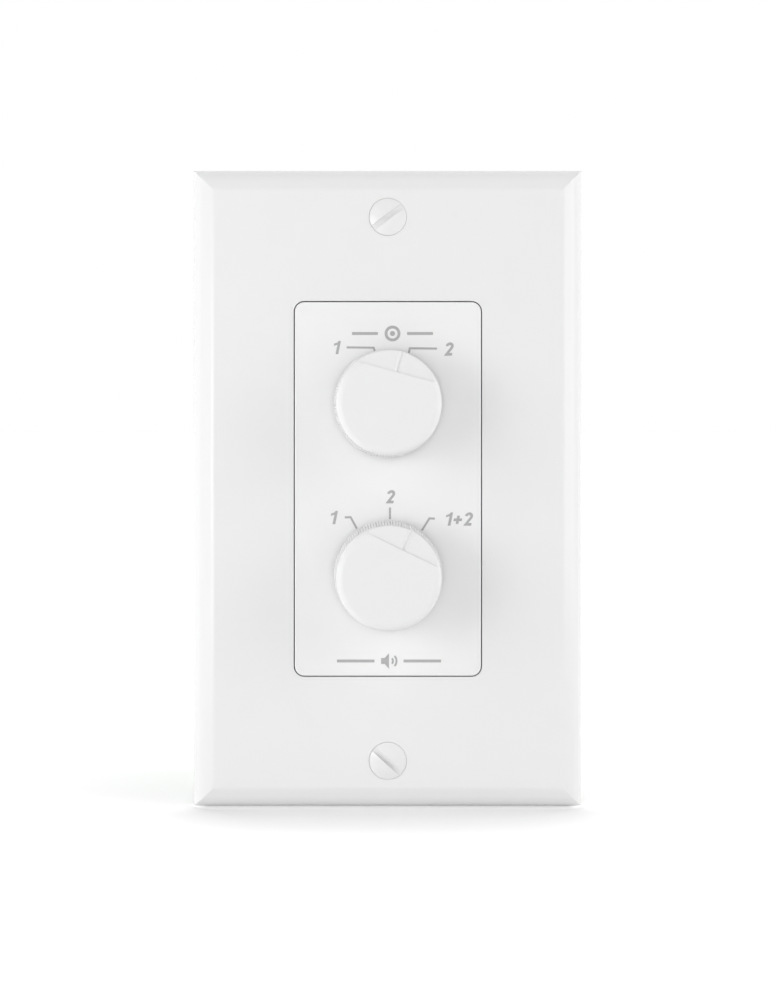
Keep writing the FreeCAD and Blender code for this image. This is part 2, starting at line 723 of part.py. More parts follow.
def make_mounting_strap():
    body = new_body("mounting_strap")
    panel_x = s.strap_width / 2
    top_z = s.plate_length / 2 - s.plate_rim - s.strap_margin
    panel = rounded_box(0, 0, s.strap_width, s.panel_length, s.strap_corner)
    prism(body, "panel", FRONT, 0, s.strap_thick, [panel])
    neck = box(0, 0, s.strap_neck, (top_z - s.strap_corner) * 2)
    prism(body, "neck", FRONT, 0, s.strap_thick, [neck])
    ears = [rounded_box(0, side * (top_z - s.ear_length / 2), s.ear_width, s.ear_length, s.strap_corner)
            for side in (1, -1)]
    prism(body, "ears", FRONT, 0, s.strap_thick, ears)
    lips = [box(side * (panel_x - s.strap_thick / 2), 0, s.strap_thick, s.panel_length - s.strap_corner * 4)
            for side in (1, -1)]
    prism(body, "folded_sides", FRONT, -s.lip_depth, s.slip_gap, lips)
    box_holes = [circle(0, side * box_rise, s.box_hole) for side in (1, -1)]
    prism(body, "box_holes", FRONT, -BEYOND, s.strap_thick + BEYOND, box_holes, cut=True)
    tapped = [circle(0, side * screw_rise, s.screw_thread + s.running_gap) for side in (1, -1)]
    prism(body, "tapped_holes", FRONT, -BEYOND, s.strap_thick + BEYOND, tapped, cut=True)
    bushing_holes = [circle(0, side * dial_rise, s.bushing_radius + s.slip_gap) for side in (1, -1)]
    prism(body, "bushing_holes", FRONT, -BEYOND, s.strap_thick + BEYOND, bushing_holes, cut=True)
    prism(body, "keyways", FRONT, -BEYOND, s.strap_thick + BEYOND, keyways(), cut=True)
    peg_holes = [circle(x, z, s.peg_radius + s.slip_gap) for x, z in corners_of(peg_x, peg_z)]
    prism(body, "peg_holes", FRONT, -BEYOND, s.strap_thick + BEYOND, peg_holes, cut=True)
    post_holes = [circle(x, z, s.post_shank + s.running_gap) for x, z in post_places]
    prism(body, "post_holes", FRONT, -BEYOND, s.strap_thick + BEYOND, post_holes, cut=True)
    rounded_edges(body, "folds", s.strap_thick * s.fold_share, lambda edge: flat_at(edge, s.strap_thick)
                  and abs(abs(edge.CenterOfMass.x) - panel_x.value) < SAME)
    notches = [box(x, z, s.strap_corner, s.ear_length - s.strap_corner * 2)
               for x, z in corners_of((s.strap_neck + s.ear_width) / 4, top_z - s.ear_length / 2)]
    prism(body, "break_off_slots", FRONT, -BEYOND, s.strap_thick + BEYOND, notches, cut=True)
    return body


def make_face_insert():
    body = new_body("face_insert")
    outline = rounded_box(0, 0, s.insert_width, s.insert_length, s.insert_corner)
    prism(body, "panel", FRONT, s.strap_thick, insert_front, [outline])
    flange = rounded_box(0, 0, s.insert_width + s.flange_reach * 2, s.insert_length + s.flange_reach * 2,
                         s.insert_corner)
    prism(body, "flange", FRONT, s.strap_thick, s.strap_thick + s.flange_thick, [flange])
    hollow = rounded_box(0, 0, s.insert_width - s.insert_side * 2, s.insert_length - s.insert_side * 2,
                         s.insert_corner)
    prism(body, "hollow_back", FRONT, s.strap_thick - BEYOND, nut_seat, [hollow], cut=True)
    bosses = [circle(0, side * dial_rise, s.well_radius + s.well_wall) for side in (1, -1)]
    prism(body, "switch_bosses", FRONT, s.strap_thick, nut_seat + s.slip_gap, bosses)
    peg_bosses = [circle(x, z, s.peg_radius * 2) for x, z in corners_of(peg_x, peg_z)]
    prism(body, "peg_bosses", FRONT, s.strap_thick, nut_seat + s.slip_gap, peg_bosses)
    pegs = [circle(x, z, s.peg_radius) for x, z in corners_of(peg_x, peg_z)]
    prism(body, "pegs", FRONT, 0, s.strap_thick + s.slip_gap, pegs)
    spine = [box(0, 0, s.rib_wall, s.insert_length - s.insert_side * 2 + s.slip_gap)]
    prism(body, "spine", FRONT, s.strap_thick, nut_seat + s.slip_gap, spine)
    wells = [circle(0, side * dial_rise, s.well_radius) for side in (1, -1)]
    prism(body, "nut_wells", FRONT, nut_seat, insert_front + BEYOND, wells, cut=True)
    holes = [circle(0, side * dial_rise, s.bushing_radius + s.slip_gap) for side in (1, -1)]
    prism(body, "bushing_holes", FRONT, s.strap_thick - BEYOND, nut_seat + BEYOND, holes, cut=True)
    prism(body, "keyways", FRONT, s.strap_thick - BEYOND, s.strap_thick + s.flange_thick / 2, keyways(),
          cut=True)
    rounded_edges(body, "front_edge", s.insert_edge,
                  lambda edge: flat_at(edge, insert_front) and not is_round(edge, s.well_radius))
    return body


# ---- knobs ----

def facet_depth(height):
    """Depth of the facet's surface at a height above the knob's axis."""
    return knob_front - s.facet_step - (height - s.facet_chord) * tangent(s.facet_slope)


def pointer_notch(height, width):
    """The V of the pointer groove where it passes a height, open towards the front."""
    bottom = facet_depth(height) - s.pointer_depth
    # The V goes on in front of the facet with the same slopes.
    mouth = facet_depth(height) + s.pointer_depth
    return loop((0, -bottom), (-width, -mouth), (width, -mouth))


def make_knob(prefix, rise, turn):
    """The moulded knob: shell, hub with its D bore, ribs between them, facet, pointer and knurl."""
    body = new_body(f"{prefix}_knob", (0, rise), turn)
    shoulder = knob_front - s.shoulder_drop
    shoulder_run = s.knob_top - s.knob_face
    hub = s.shaft_radius + s.hub_wall
    shell_inner = s.knob_top - s.knob_wall
    shell_mouth = s.knob_base - s.knob_wall
    turned(body, "moulding", [
        (0, knob_front), (0, hub_bottom), (hub, hub_bottom), (hub, shaft_tip), (shell_inner, shaft_tip),
        (shell_mouth, knob_under), (s.knob_base, knob_under), (s.knob_top + s.collar_step, shoulder),
        (s.knob_top, shoulder, -square_arc(shoulder_run, s.shoulder_drop)), (s.knob_face, knob_front)])
    rib_start = hub - s.slip_gap
    rib_end = shell_inner + s.knob_wall / 2
    rib = prism(body, "rib", FRONT, shaft_tip - s.knob_rib_height, shaft_tip + s.slip_gap,
                [box(0, -(rib_start + rib_end) / 2, s.knob_rib_wall, rib_end - rib_start)])
    round_pattern(body, "ribs", [rib], s.knob_ribs)
    bore = d_section(s.shaft_radius + s.running_gap, s.shaft_flat + s.clip_thick + s.slip_gap)
    prism(body, "bore", FRONT, hub_bottom - BEYOND, shaft_tip + s.slip_gap, [bore], cut=True)
    far = s.knob_base + BEYOND
    facet = loop((-(knob_front + BEYOND), s.facet_chord), (-facet_depth(s.facet_chord), s.facet_chord),
                 (-facet_depth(far), far), (-(knob_front + BEYOND), far))
    prism(body, "facet", SIDE, -far, far, [facet], cut=True)
    start = s.facet_chord + s.slip_gap
    carved(body, "pointer", LEVEL, start, pointer_notch(start, s.pointer_width),
           far, pointer_notch(far, s.pointer_flare))
    low = knob_under - s.slip_gap
    slope = (s.knob_base - s.knob_top - s.collar_step) / (shoulder - knob_under)

    def groove(depth):
        outer = s.knob_base - (depth - knob_under) * slope
        return loop((0, outer - s.knurl_depth), (s.knurl_width / 2, outer + s.slip_gap),
                    (-s.knurl_width / 2, outer + s.slip_gap))

    first = carved(body, "knurl_groove", FRONT, low, groove(low), shoulder, groove(shoulder))
    round_pattern(body, "knurl", [first], s.knurl_teeth)
    return body


def make_knob_clip(prefix, rise, turn):
    body = new_body(f"{prefix}_knob_clip", (0, rise), turn)
    leaf = box(0, s.shaft_flat + s.slip_gap / 2 + s.clip_thick / 2, s.clip_width, s.clip_thick)
    prism(body, "leaf", FRONT, hub_bottom, shaft_tip - s.loose_gap, [leaf])
    return body


# ---- shaft and what holds it ----

def make_shaft(prefix, rise, turn):
    body = new_body(f"{prefix}_shaft", (0, rise), turn)
    step = wheel_front + s.loose_gap / 2
    pivot_front = rotor_rear
    groove = s.shaft_radius - s.groove_depth
    point = s.groove_depth
    turned(body, "turning", [
        (0, shaft_tip), (0, base_rear), (s.pivot_radius, base_rear), (s.pivot_radius, pivot_front),
        (s.tail_radius, pivot_front), (s.tail_radius, step), (s.shaft_radius, step),
        (s.shaft_radius, ring_rear), (groove, ring_rear), (groove, ring_rear + s.ring_thick),
        (s.shaft_radius, ring_rear + s.ring_thick), (s.shaft_radius, shaft_tip - point),
        (s.shaft_radius - point, shaft_tip)])
    over = box(0, s.shaft_flat + s.shaft_radius / 2, s.shaft_radius * 2 + BEYOND, s.shaft_radius)
    prism(body, "flat", FRONT, hub_bottom, shaft_tip + BEYOND, [over], cut=True)
    sides = [box(0, side * (s.tail_flat + s.tail_radius / 2), s.tail_radius * 2 + BEYOND, s.tail_radius)
             for side in (1, -1)]
    prism(body, "tail_flats", FRONT, pivot_front, step, sides, cut=True)
    return body


def make_shaft_clip(prefix, rise, turn):
    body = new_body(f"{prefix}_shaft_clip", (0, rise), turn)
    inner = s.shaft_radius - s.groove_depth + s.running_gap
    prism(body, "ring", FRONT, ring_rear, ring_rear + s.ring_thick, [circle(0, 0, s.ring_radius),
                                                                     circle(0, 0, inner)])
    mouth = box(0, -s.ring_radius, s.ring_mouth, s.ring_radius * 2)
    prism(body, "mouth", FRONT, ring_rear, ring_rear + s.ring_thick, [mouth], cut=True)
    return body


def make_washer(prefix, rise):
    body = new_body(f"{prefix}_washer", (0, rise))
    inner = s.bushing_radius + s.slip_gap
    prism(body, "ring", FRONT, nut_seat, nut_rear, [circle(0, 0, s.washer_radius), circle(0, 0, inner)])
    gap = box(0, inner, s.tooth_gap, s.washer_radius - inner)
    first = prism(body, "tooth_gap", FRONT, nut_seat, nut_rear, [gap], cut=True)
    round_pattern(body, "teeth", [first], s.washer_teeth)
    return body


def make_nut(prefix, rise):
    body = new_body(f"{prefix}_nut", (0, rise))
    nut_front = nut_rear + s.nut_thick
    prism(body, "hexagon", FRONT, nut_rear, nut_front,
          [hexagon(0, 0, s.nut_flats), circle(0, 0, s.bushing_radius + s.running_gap)])
    corner = s.nut_flats / root(3)
    bevel_drop = (corner - s.nut_flats / 2) * tangent(s.nut_bevel)
    turned(body, "bevel", [(s.nut_flats / 2, nut_front), (corner + s.slip_gap, nut_front - bevel_drop),
                           (corner + BEYOND, nut_front - bevel_drop), (corner + BEYOND, nut_front + BEYOND),
                           (s.nut_flats / 2, nut_front + BEYOND)], cut=True)
    return body


def make_bushing(prefix, rise):
    body = new_body(f"{prefix}_bushing", (0, rise))
    inner = s.shaft_radius + s.running_gap
    point = s.groove_depth
    turned(body, "turning", [
        (inner, s.bushing_length), (inner, -s.bushing_seat), (s.bushing_flange, -s.bushing_seat),
        (s.bushing_flange, 0), (s.bushing_radius, 0), (s.bushing_radius, s.bushing_length - point),
        (s.bushing_radius - point, s.bushing_length)])
    key = box(0, s.key_offset, s.key_width, s.key_width / 2)
    prism(body, "key", FRONT, -s.slip_gap, s.strap_thick, [key])
    return body


# ---- switches ----

def make_housing(prefix, rise):
    body = new_body(f"{prefix}_housing", (0, rise))
    outline = rounded_box(0, 0, s.switch_width, s.switch_width, s.switch_corner)
    prism(body, "block", FRONT, -s.switch_depth, 0, [outline])
    prism(body, "cavity", FRONT, -s.switch_depth - BEYOND, -s.switch_front,
          [circle(0, 0, s.switch_bore)], cut=True)
    prism(body, "bushing_seat", FRONT, -s.bushing_seat, BEYOND,
          [circle(0, 0, s.bushing_flange + s.running_gap)], cut=True)
    prism(body, "shaft_hole", FRONT, -s.switch_front - BEYOND, 0,
          [circle(0, 0, s.shaft_radius + s.loose_gap)], cut=True)
    grooves = [box(side * s.switch_bore, 0, s.stop_wall, s.stop_wall) for side in (1, -1)]
    prism(body, "key_grooves", FRONT, -s.switch_depth - BEYOND, stop_front, grooves, cut=True)
    seat = s.bushing_flange + s.running_gap
    rounded_edges(body, "front_edge", s.switch_bevel,
                  lambda edge: flat_at(edge, Size(0)) and not is_round(edge, seat), kind="Chamfer")
    return body


def make_detent_spring(prefix, rise):
    body = new_body(f"{prefix}_detent_spring", (0, rise))
    centre = s.wheel_radius - s.notch_depth + s.notch_radius
    end_x, end_z = around(s.switch_bore - s.slip_gap, s.spring_end)

    def bend(radius):
        return radius * cosine(s.spring_bend), centre - radius * sine(s.spring_bend)

    lower = s.notch_radius - s.slip_gap - s.running_gap
    upper = lower - s.leaf_thick
    low_x, low_z = bend(lower)
    high_x, high_z = bend(upper)
    knee_x = s.notch_radius + s.leaf_thick * 2
    knee_z = centre + s.leaf_thick
    outline = loop(
        (end_x, end_z - s.leaf_thick), (end_x, end_z), (knee_x, knee_z + s.leaf_thick),
        (high_x, high_z, -upper), (-high_x, high_z), (-knee_x, knee_z + s.leaf_thick),
        (-end_x, end_z), (-end_x, end_z - s.leaf_thick), (-knee_x, knee_z), (-low_x, low_z, lower),
        (low_x, low_z), (knee_x, knee_z))
    middle = (wheel_front + wheel_rear) / 2
    prism(body, "leaf", FRONT, middle - s.leaf_width / 2, middle + s.leaf_width / 2, [outline])
    return body


def make_stop_ring(prefix, rise, turn, steps):
    """The ring whose two tabs stop the rotor's lug at its first and last position."""
    body = new_body(f"{prefix}_stop_ring", (0, rise))
    outer = s.switch_bore - s.slip_gap
    inner = outer - s.stop_wall
    prism(body, "ring", FRONT, stop_rear, stop_front, [circle(0, 0, outer), circle(0, 0, inner)])
    last = 180 + turn
    first = last - s.index_angle * steps
    half = lug_angle / 2 + s.stop_play
    tip = s.rotor_hub + s.loose_gap
    tabs = [sector(tip, inner + s.slip_gap, last + half, last + half + s.tab_angle),
            sector(tip, inner + s.slip_gap, first - half - s.tab_angle, first - half)]
    prism(body, "tabs", FRONT, stop_rear, stop_front, tabs)
    keys = [box(side * outer, 0, s.stop_wall - s.slip_gap * 2, s.stop_wall - s.slip_gap * 2)
            for side in (1, -1)]
    prism(body, "keys", FRONT, stop_rear, stop_front, keys)
    return body


def make_rotor(prefix, rise, turn):
    body = new_body(f"{prefix}_rotor", (0, rise), turn)
    bore = double_d(s.tail_radius + s.running_gap, s.tail_flat + s.running_gap)
    prism(body, "hub", FRONT, rotor_rear, wheel_front, [circle(0, 0, s.rotor_hub)])
    prism(body, "wheel", FRONT, wheel_rear, wheel_front, [circle(0, 0, s.wheel_radius)])
    reach = s.wheel_radius - s.notch_depth + s.notch_radius
    x, z = around(reach, -turn)
    notch = prism(body, "notch", FRONT, wheel_rear, wheel_front, [circle(x, z, s.notch_radius)], cut=True)
    round_pattern(body, "notches", [notch], switch_positions)
    half = lug_angle / 2
    lug = sector(s.rotor_hub - s.slip_gap, s.lug_reach, 180 - half, 180 + half)
    prism(body, "stop_lug", FRONT, stop_rear + s.slip_gap, wheel_rear, [lug])
    prism(body, "contact_disc", FRONT, disc_rear, disc_front, [circle(0, 0, s.disc_radius)])
    prism(body, "bore", FRONT, rotor_rear - BEYOND, wheel_front + BEYOND, [bore], cut=True)
    return body


def make_wipers(prefix, rise, turn):
    """Four leaf contacts under the contact disc, each bridging a common and an outer contact."""
    body = new_body(f"{prefix}_wipers", (0, rise), turn)
    inner = s.common_ring - s.dimple_radius
    outer = s.contact_ring + s.dimple_radius
    half = s.leaf_width / (s.common_ring + s.contact_ring) * (180 / math.pi)
    middle = s.lead_angle - turn
    strip = prism(body, "strip", FRONT, disc_rear - s.leaf_thick, disc_rear,
                  [sector(inner, outer, middle - half, middle + half)])
    tips = [circle(*around(radius, middle), s.dimple_radius) for radius in (s.common_ring, s.contact_ring)]
    dimples = prism(body, "dimples", FRONT, contact_front + s.slip_gap, disc_rear - s.leaf_thick / 2, tips)
    round_pattern(body, "poles", [strip, dimples], s.switch_poles)
    return body


def make_base(prefix, rise):
    body = new_body(f"{prefix}_base", (0, rise))
    outline = rounded_box(0, 0, s.switch_width, s.switch_width, s.switch_corner)
    prism(body, "wafer", FRONT, base_rear, -s.switch_depth, [outline])
    prism(body, "register", FRONT, -s.switch_depth, base_inner, [circle(0, 0, s.switch_bore - s.slip_gap)])
    prism(body, "pivot_hole", FRONT, base_rear - BEYOND, base_inner + BEYOND,
          [circle(0, 0, s.pivot_radius + s.running_gap)], cut=True)
    hole = s.pin_radius + s.running_gap
    outer = prism(body, "pin_hole", FRONT, base_rear - BEYOND, base_inner + BEYOND,
                  [circle(*around(s.contact_ring, s.index_angle / 2), hole)], cut=True)
    round_pattern(body, "outer_pin_holes", [outer], switch_positions)
    inner = prism(body, "common_hole", FRONT, base_rear - BEYOND, base_inner + BEYOND,
                  [circle(*around(s.common_ring, common_angle), hole)], cut=True)
    round_pattern(body, "common_pin_holes", [inner], s.switch_poles)
    return body


def make_terminals(prefix, rise):
    """Twelve outer contacts and four common ones, each with its pin through base and board."""
    body = new_body(f"{prefix}_terminals", (0, rise))
    tail = board_rear - s.solder_length
    outer_place = around(s.contact_ring, s.index_angle / 2)
    head = prism(body, "contact", FRONT, base_inner, contact_front, [circle(*outer_place, s.contact_radius)])
    pin = prism(body, "pin", FRONT, tail, base_inner, [circle(*outer_place, s.pin_radius)])
    round_pattern(body, "outer_contacts", [head, pin], switch_positions)
    span = sector(s.common_ring - s.leaf_width / 2, s.common_ring + s.leaf_width / 2,
                  s.lead_angle - s.index_angle * 2 - s.common_margin, s.lead_angle + s.common_margin)
    common = prism(body, "common", FRONT, base_inner, contact_front, [span])
    stem = prism(body, "common_pin", FRONT, tail, base_inner,
                 [circle(*around(s.common_ring, common_angle), s.pin_radius)])
    round_pattern(body, "common_contacts", [common, stem], s.switch_poles)
    return body


# ---- circuit board and its fixings ----

def make_circuit_board():
    body = new_body("circuit_board")
    outline = rounded_box(0, 0, s.board_width, s.board_length, s.board_corner)
    prism(body, "board", FRONT, board_rear, board_front, [outline])
    hole = s.pin_radius + s.slip_gap
    places = [around(s.contact_ring, s.index_angle * index + s.index_angle / 2)
              for index in range(int(switch_positions.value))]
    places += [around(s.common_ring, common_angle + Size(360) / s.switch_poles * index)
               for index in range(int(s.switch_poles.value))]
    holes = [circle(x, z + rise, hole) for rise in (dial_rise, -dial_rise) for x, z in places]
    prism(body, "switch_pin_holes", FRONT, board_rear - BEYOND, board_front + BEYOND, holes, cut=True)
    pin_hole = s.header_pin / root(2) + s.running_gap
    pin_holes = [circle(x + pole, z, pin_hole) for x, z in header_places for pole in poles]
    prism(body, "header_pin_holes", FRONT, board_rear - BEYOND, board_front + BEYOND, pin_holes, cut=True)
    screw_holes = [circle(x, z, s.board_screw + s.loose_gap) for x, z in post_places]
    prism(body, "screw_holes", FRONT, board_rear - BEYOND, board_front + BEYOND, screw_holes, cut=True)
    return body


def make_board_posts():
    body = new_body("board_posts")
    prism(body, "posts", FRONT, board_front, 0, [hexagon(x, z, s.post_flats) for x, z in post_places])
    prism(body, "shanks", FRONT, 0, s.strap_thick, [circle(x, z, s.post_shank) for x, z in post_places])
    tapped = [circle(x, z, s.board_screw + s.running_gap) for x, z in post_places]
    depth = s.board_screw_length - s.board_thick + s.loose_gap
    prism(body, "tapped_holes", FRONT, board_front - BEYOND, board_front + depth, tapped, cut=True)
    return body


def make_board_screws():
    body = new_body("board_screws")
    heads = [circle(x, z, s.board_screw_head) for x, z in post_places]
    prism(body, "heads", FRONT, board_rear - s.board_screw_rise, board_rear, heads)
    shanks = [circle(x, z, s.board_screw) for x, z in post_places]
    prism(body, "shanks", FRONT, board_rear, board_rear + s.board_screw_length, shanks)
    top = board_rear - s.board_screw_rise
    rounded_edges(body, "head_edges", s.board_screw_round, lambda edge: flat_at(edge, top))
    for width, height in ((s.cross_length, s.cross_width), (s.cross_width, s.cross_length)):
        slots = [box(x, z, width, height) for x, z in post_places]
        prism(body, "cross", FRONT, top - BEYOND, top + s.cross_depth, slots, cut=True)
    return body


# ---- connectors ----

def make_header(name, place, upside_down):
    body = new_body(name, place, Size(180) if upside_down else None)
    prism(body, "block", FRONT, header_rear, board_rear, [box(0, 0, header_width, s.header_height)])
    well = box(0, 0, header_width - s.header_wall * 2, s.header_height - s.header_wall * 2)
    prism(body, "well", FRONT, header_rear - BEYOND, header_seat, [well], cut=True)
    keys = [box(pole, s.header_height / 2, s.header_wall * 2, s.header_wall * 4) for pole in poles]
    prism(body, "key_slots", FRONT, header_rear - BEYOND, (header_rear + header_seat) / 2, keys, cut=True)
    holes = [box(pole, 0, s.header_pin + s.running_gap * 2, s.header_pin + s.running_gap * 2)
             for pole in poles]
    prism(body, "pin_holes", FRONT, header_seat - BEYOND, board_rear + BEYOND, holes, cut=True)
    return body


def make_header_pins():
    body = new_body("header_pins")
    pins = [box(x + pole, z, s.header_pin, s.header_pin) for x, z in header_places for pole in poles]
    prism(body, "pins", FRONT, header_seat - s.pin_reach, board_front + s.solder_length, pins)
    return body


def cage_middle():
    """Height of a wire cage's middle above its header's axis."""
    return s.plug_shift - (s.plug_height - s.cage_height) / 2 + s.cage_wall * 2


def make_plug(name, place, upside_down):
    body = new_body(name, place, Size(180) if upside_down else None)
    nose_width = header_width - (s.header_wall + s.slip_gap) * 2
    nose_height = s.header_height - (s.header_wall + s.slip_gap) * 2
    prism(body, "nose", FRONT, header_rear, header_seat - s.loose_gap, [box(0, 0, nose_width, nose_height)])
    keys = [box(pole, nose_height / 2 + s.header_wall / 2, s.header_wall, s.header_wall + s.slip_gap * 2)
            for pole in poles]
    prism(body, "keys", FRONT, header_rear, (header_rear + header_seat) / 2 - s.loose_gap, keys)
    low = s.plug_shift - s.plug_height / 2
    high = s.plug_shift + s.plug_height / 2
    outline = loop((-header_rear, low), (-plug_rear - s.plug_bevel, low), (-plug_rear, low + s.plug_bevel),
                   (-plug_rear, high - s.plug_bevel), (-plug_rear - s.plug_bevel, high), (-header_rear, high))
    prism(body, "block", SIDE, -header_width / 2, header_width / 2, [outline])
    sockets = [box(pole, 0, s.header_pin + s.loose_gap, s.header_pin + s.loose_gap) for pole in poles]
    prism(body, "sockets", FRONT, header_seat - s.pin_reach - s.loose_gap, header_seat + BEYOND,
          sockets, cut=True)
    middle = cage_middle()
    chambers = [box(pole, middle, s.cage_width + s.slip_gap * 2, s.cage_height + s.slip_gap * 2)
                for pole in poles]
    chamber_front = plug_rear + s.cage_inset + s.cage_length + s.slip_gap
    prism(body, "chambers", FRONT, plug_rear - BEYOND, chamber_front, chambers, cut=True)
    screw_depth = plug_rear + s.cage_inset + s.cage_length / 2
    drives = [circle(pole, -screw_depth, s.clamp_head + s.slip_gap) for pole in poles]
    prism(body, "screw_holes", LEVEL, middle + s.cage_height / 2, high + BEYOND, drives, cut=True)
    return body


def make_terminal_clamps():
    body = new_body("terminal_clamps")
    low = plug_rear + s.cage_inset
    high = low + s.cage_length
    places = []
    for x, z in header_places:
        side = 1 if z.value > 0 else -1
        places += [(x + pole, z + side * cage_middle()) for pole in poles]
    prism(body, "cages", FRONT, low, high, [box(x, z, s.cage_width, s.cage_height) for x, z in places])
    passages = [box(x, z, s.cage_width - s.cage_wall * 2, s.cage_height - s.cage_wall * 4)
                for x, z in places]
    prism(body, "wire_ways", FRONT, low - BEYOND, high + BEYOND, passages, cut=True)
    depth = low + s.cage_length / 2
    holes = [circle(x + pole, -depth, s.clamp_screw + s.running_gap) for x, z in header_places[:2]
             for pole in poles]
    middle = s.header_offset + cage_middle()
    prism(body, "upper_threads", LEVEL, middle, middle + s.cage_height, holes, cut=True)
    prism(body, "lower_threads", LEVEL, -middle - s.cage_height, -middle, holes, cut=True)
    return body


def make_terminal_screws():
    body = new_body("terminal_screws")
    depth = plug_rear + s.cage_inset + s.cage_length / 2
    cage_top = s.header_offset + cage_middle() + s.cage_height / 2
    tip = cage_top - s.cage_wall * 3
    head = cage_top + s.loose_gap
    top = head + s.clamp_head_rise
    places = [(x + pole, -depth) for x, z in header_places[:2] for pole in poles]
    shanks = [circle(x, y, s.clamp_screw) for x, y in places]
    heads = [circle(x, y, s.clamp_head) for x, y in places]
    slots = [box(x, y, s.clamp_head * 2 + s.slip_gap, s.clamp_slot) for x, y in places]
    prism(body, "upper_shanks", LEVEL, tip, head, shanks)
    prism(body, "upper_heads", LEVEL, head, top, heads)
    prism(body, "upper_slots", LEVEL, top - s.clamp_slot_depth, top + BEYOND, slots, cut=True)
    prism(body, "lower_shanks", LEVEL, -head, -tip, shanks)
    prism(body, "lower_heads", LEVEL, -top, -head, heads)
    prism(body, "lower_slots", LEVEL, -top - BEYOND, -top + s.clamp_slot_depth, slots, cut=True)
    return body


# ---- the whole object ----

make_wall_plate()
make_plate_screws()
make_mounting_strap()
make_face_insert()
for prefix, rise, turn, steps in (("source", dial_rise, s.source_turn, 1),
                                  ("speaker", -dial_rise, s.speaker_turn, 2)):
    make_knob(prefix, rise, turn)
    make_knob_clip(prefix, rise, turn)
    make_shaft(prefix, rise, turn)
    make_shaft_clip(prefix, rise, turn)
    make_washer(prefix, rise)
    make_nut(prefix, rise)
    make_bushing(prefix, rise)
    make_housing(prefix, rise)
    make_detent_spring(prefix, rise)
    make_stop_ring(prefix, rise, turn, steps)
    make_rotor(prefix, rise, turn)
    make_wipers(prefix, rise, turn)
    make_base(prefix, rise)
    make_terminals(prefix, rise)
make_circuit_board()
make_board_posts()
make_board_screws()
for name, place in zip(("source_2", "source_1", "speaker_1", "speaker_2"), header_places):
    upside_down = place[1].value < 0
    make_header(f"header_{name}", place, upside_down)
    make_plug(f"plug_{name}", place, upside_down)
make_header_pins()
make_terminal_clamps()
make_terminal_screws()

document.recompute()

faults = [item.Label for item in document.Objects if "Invalid" in item.State or "Error" in item.State]
faults += [node.Label for node in NODES if node.Shape.isNull() or not node.Shape.isValid()]
if faults:
    raise RuntimeError("These did not build: " + ", ".join(faults))

os.makedirs("parts", exist_ok=True)
for node in NODES:
    node.Shape.exportStep(f"parts/{node.Label}.step")
    print(f"{node.Label}: {len(node.Shape.Solids)} solids, {node.Shape.Volume:.1f} mm3")
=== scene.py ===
import json
import math

import bmesh
import bpy
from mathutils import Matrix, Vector


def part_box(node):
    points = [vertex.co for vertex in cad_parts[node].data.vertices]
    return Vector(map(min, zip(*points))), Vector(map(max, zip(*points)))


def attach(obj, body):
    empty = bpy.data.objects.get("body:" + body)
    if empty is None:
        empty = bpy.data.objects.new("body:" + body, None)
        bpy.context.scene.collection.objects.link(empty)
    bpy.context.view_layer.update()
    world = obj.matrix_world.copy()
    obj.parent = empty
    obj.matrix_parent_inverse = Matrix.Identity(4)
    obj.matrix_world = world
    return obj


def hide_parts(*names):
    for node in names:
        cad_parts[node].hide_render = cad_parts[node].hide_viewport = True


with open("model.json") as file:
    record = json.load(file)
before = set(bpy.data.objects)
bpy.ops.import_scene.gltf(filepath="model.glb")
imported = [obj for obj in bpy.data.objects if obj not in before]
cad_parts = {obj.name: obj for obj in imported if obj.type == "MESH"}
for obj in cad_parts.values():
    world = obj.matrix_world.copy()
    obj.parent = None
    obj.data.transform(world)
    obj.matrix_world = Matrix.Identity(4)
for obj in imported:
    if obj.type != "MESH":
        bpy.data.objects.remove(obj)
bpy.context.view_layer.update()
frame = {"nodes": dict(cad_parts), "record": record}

MM = 0.001

# ---- where things are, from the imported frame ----

plate_low, plate_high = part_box("wall_plate")
board_low, board_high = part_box("circuit_board")
PLATE_FRONT = plate_low.y
INSERT_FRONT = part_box("face_insert")[0].y
FLOOR_Z = plate_low.z

# ---- camera: lengths in metres, and places in pixels of the 771 x 1000 frame ----

IMAGE_WIDTH = 771
IMAGE_HEIGHT = 1000
PLATE_CENTRE_PX = (387.9, 488.9)
PIXELS_PER_MM = 5.618
CAMERA_DISTANCE = 340 * MM
CAMERA_X = -6 * MM
CAMERA_Z = 11 * MM
CAMERA_CLIP = (0.01, 20)
SENSOR = 36.0

# The pixel straight ahead of the camera.
AHEAD_PX = (PLATE_CENTRE_PX[0] + CAMERA_X / MM * PIXELS_PER_MM,
            PLATE_CENTRE_PX[1] - CAMERA_Z / MM * PIXELS_PER_MM)

# ---- floor and light ----

FLOOR_REACH = 30.0
FLOOR_ALBEDO = 0.95

# The floor glows to the eye by an amount that follows how open it is, from 0 to 1, within
# CONTACT_REACH: FLOOR_GLOW in the open, falling to nothing at CONTACT_OPEN, which paints a contact
# shadow round the object, and FOOT_GLOW where nothing is open, falling to nothing at FOOT_OPEN,
# which paints light into the darkest ring at its foot.
CONTACT_REACH = 32 * MM
CONTACT_SAMPLES = 12
CONTACT_OPEN = 0.6
FLOOR_GLOW = 0.35
FLOOR_GLOW_POWER = 1.5
FOOT_OPEN = 0.5
FOOT_GLOW = 0.4

# To the sides of the plate the floor's shadow is filled with painted light, a glow set by where the
# floor lies. The fill fades in over SIDE_FADE at the plate's edges, and from AHEAD_SHARE at
# AHEAD_DEPTH to full at BEHIND_DEPTH, both from the plate's front.
SIDE_GLOW = 1.7
SIDE_GLOW_POWER = 1.2
SIDE_FADE = 5 * MM
AHEAD_SHARE = 0.1
AHEAD_DEPTH = -2 * MM
BEHIND_DEPTH = 6 * MM

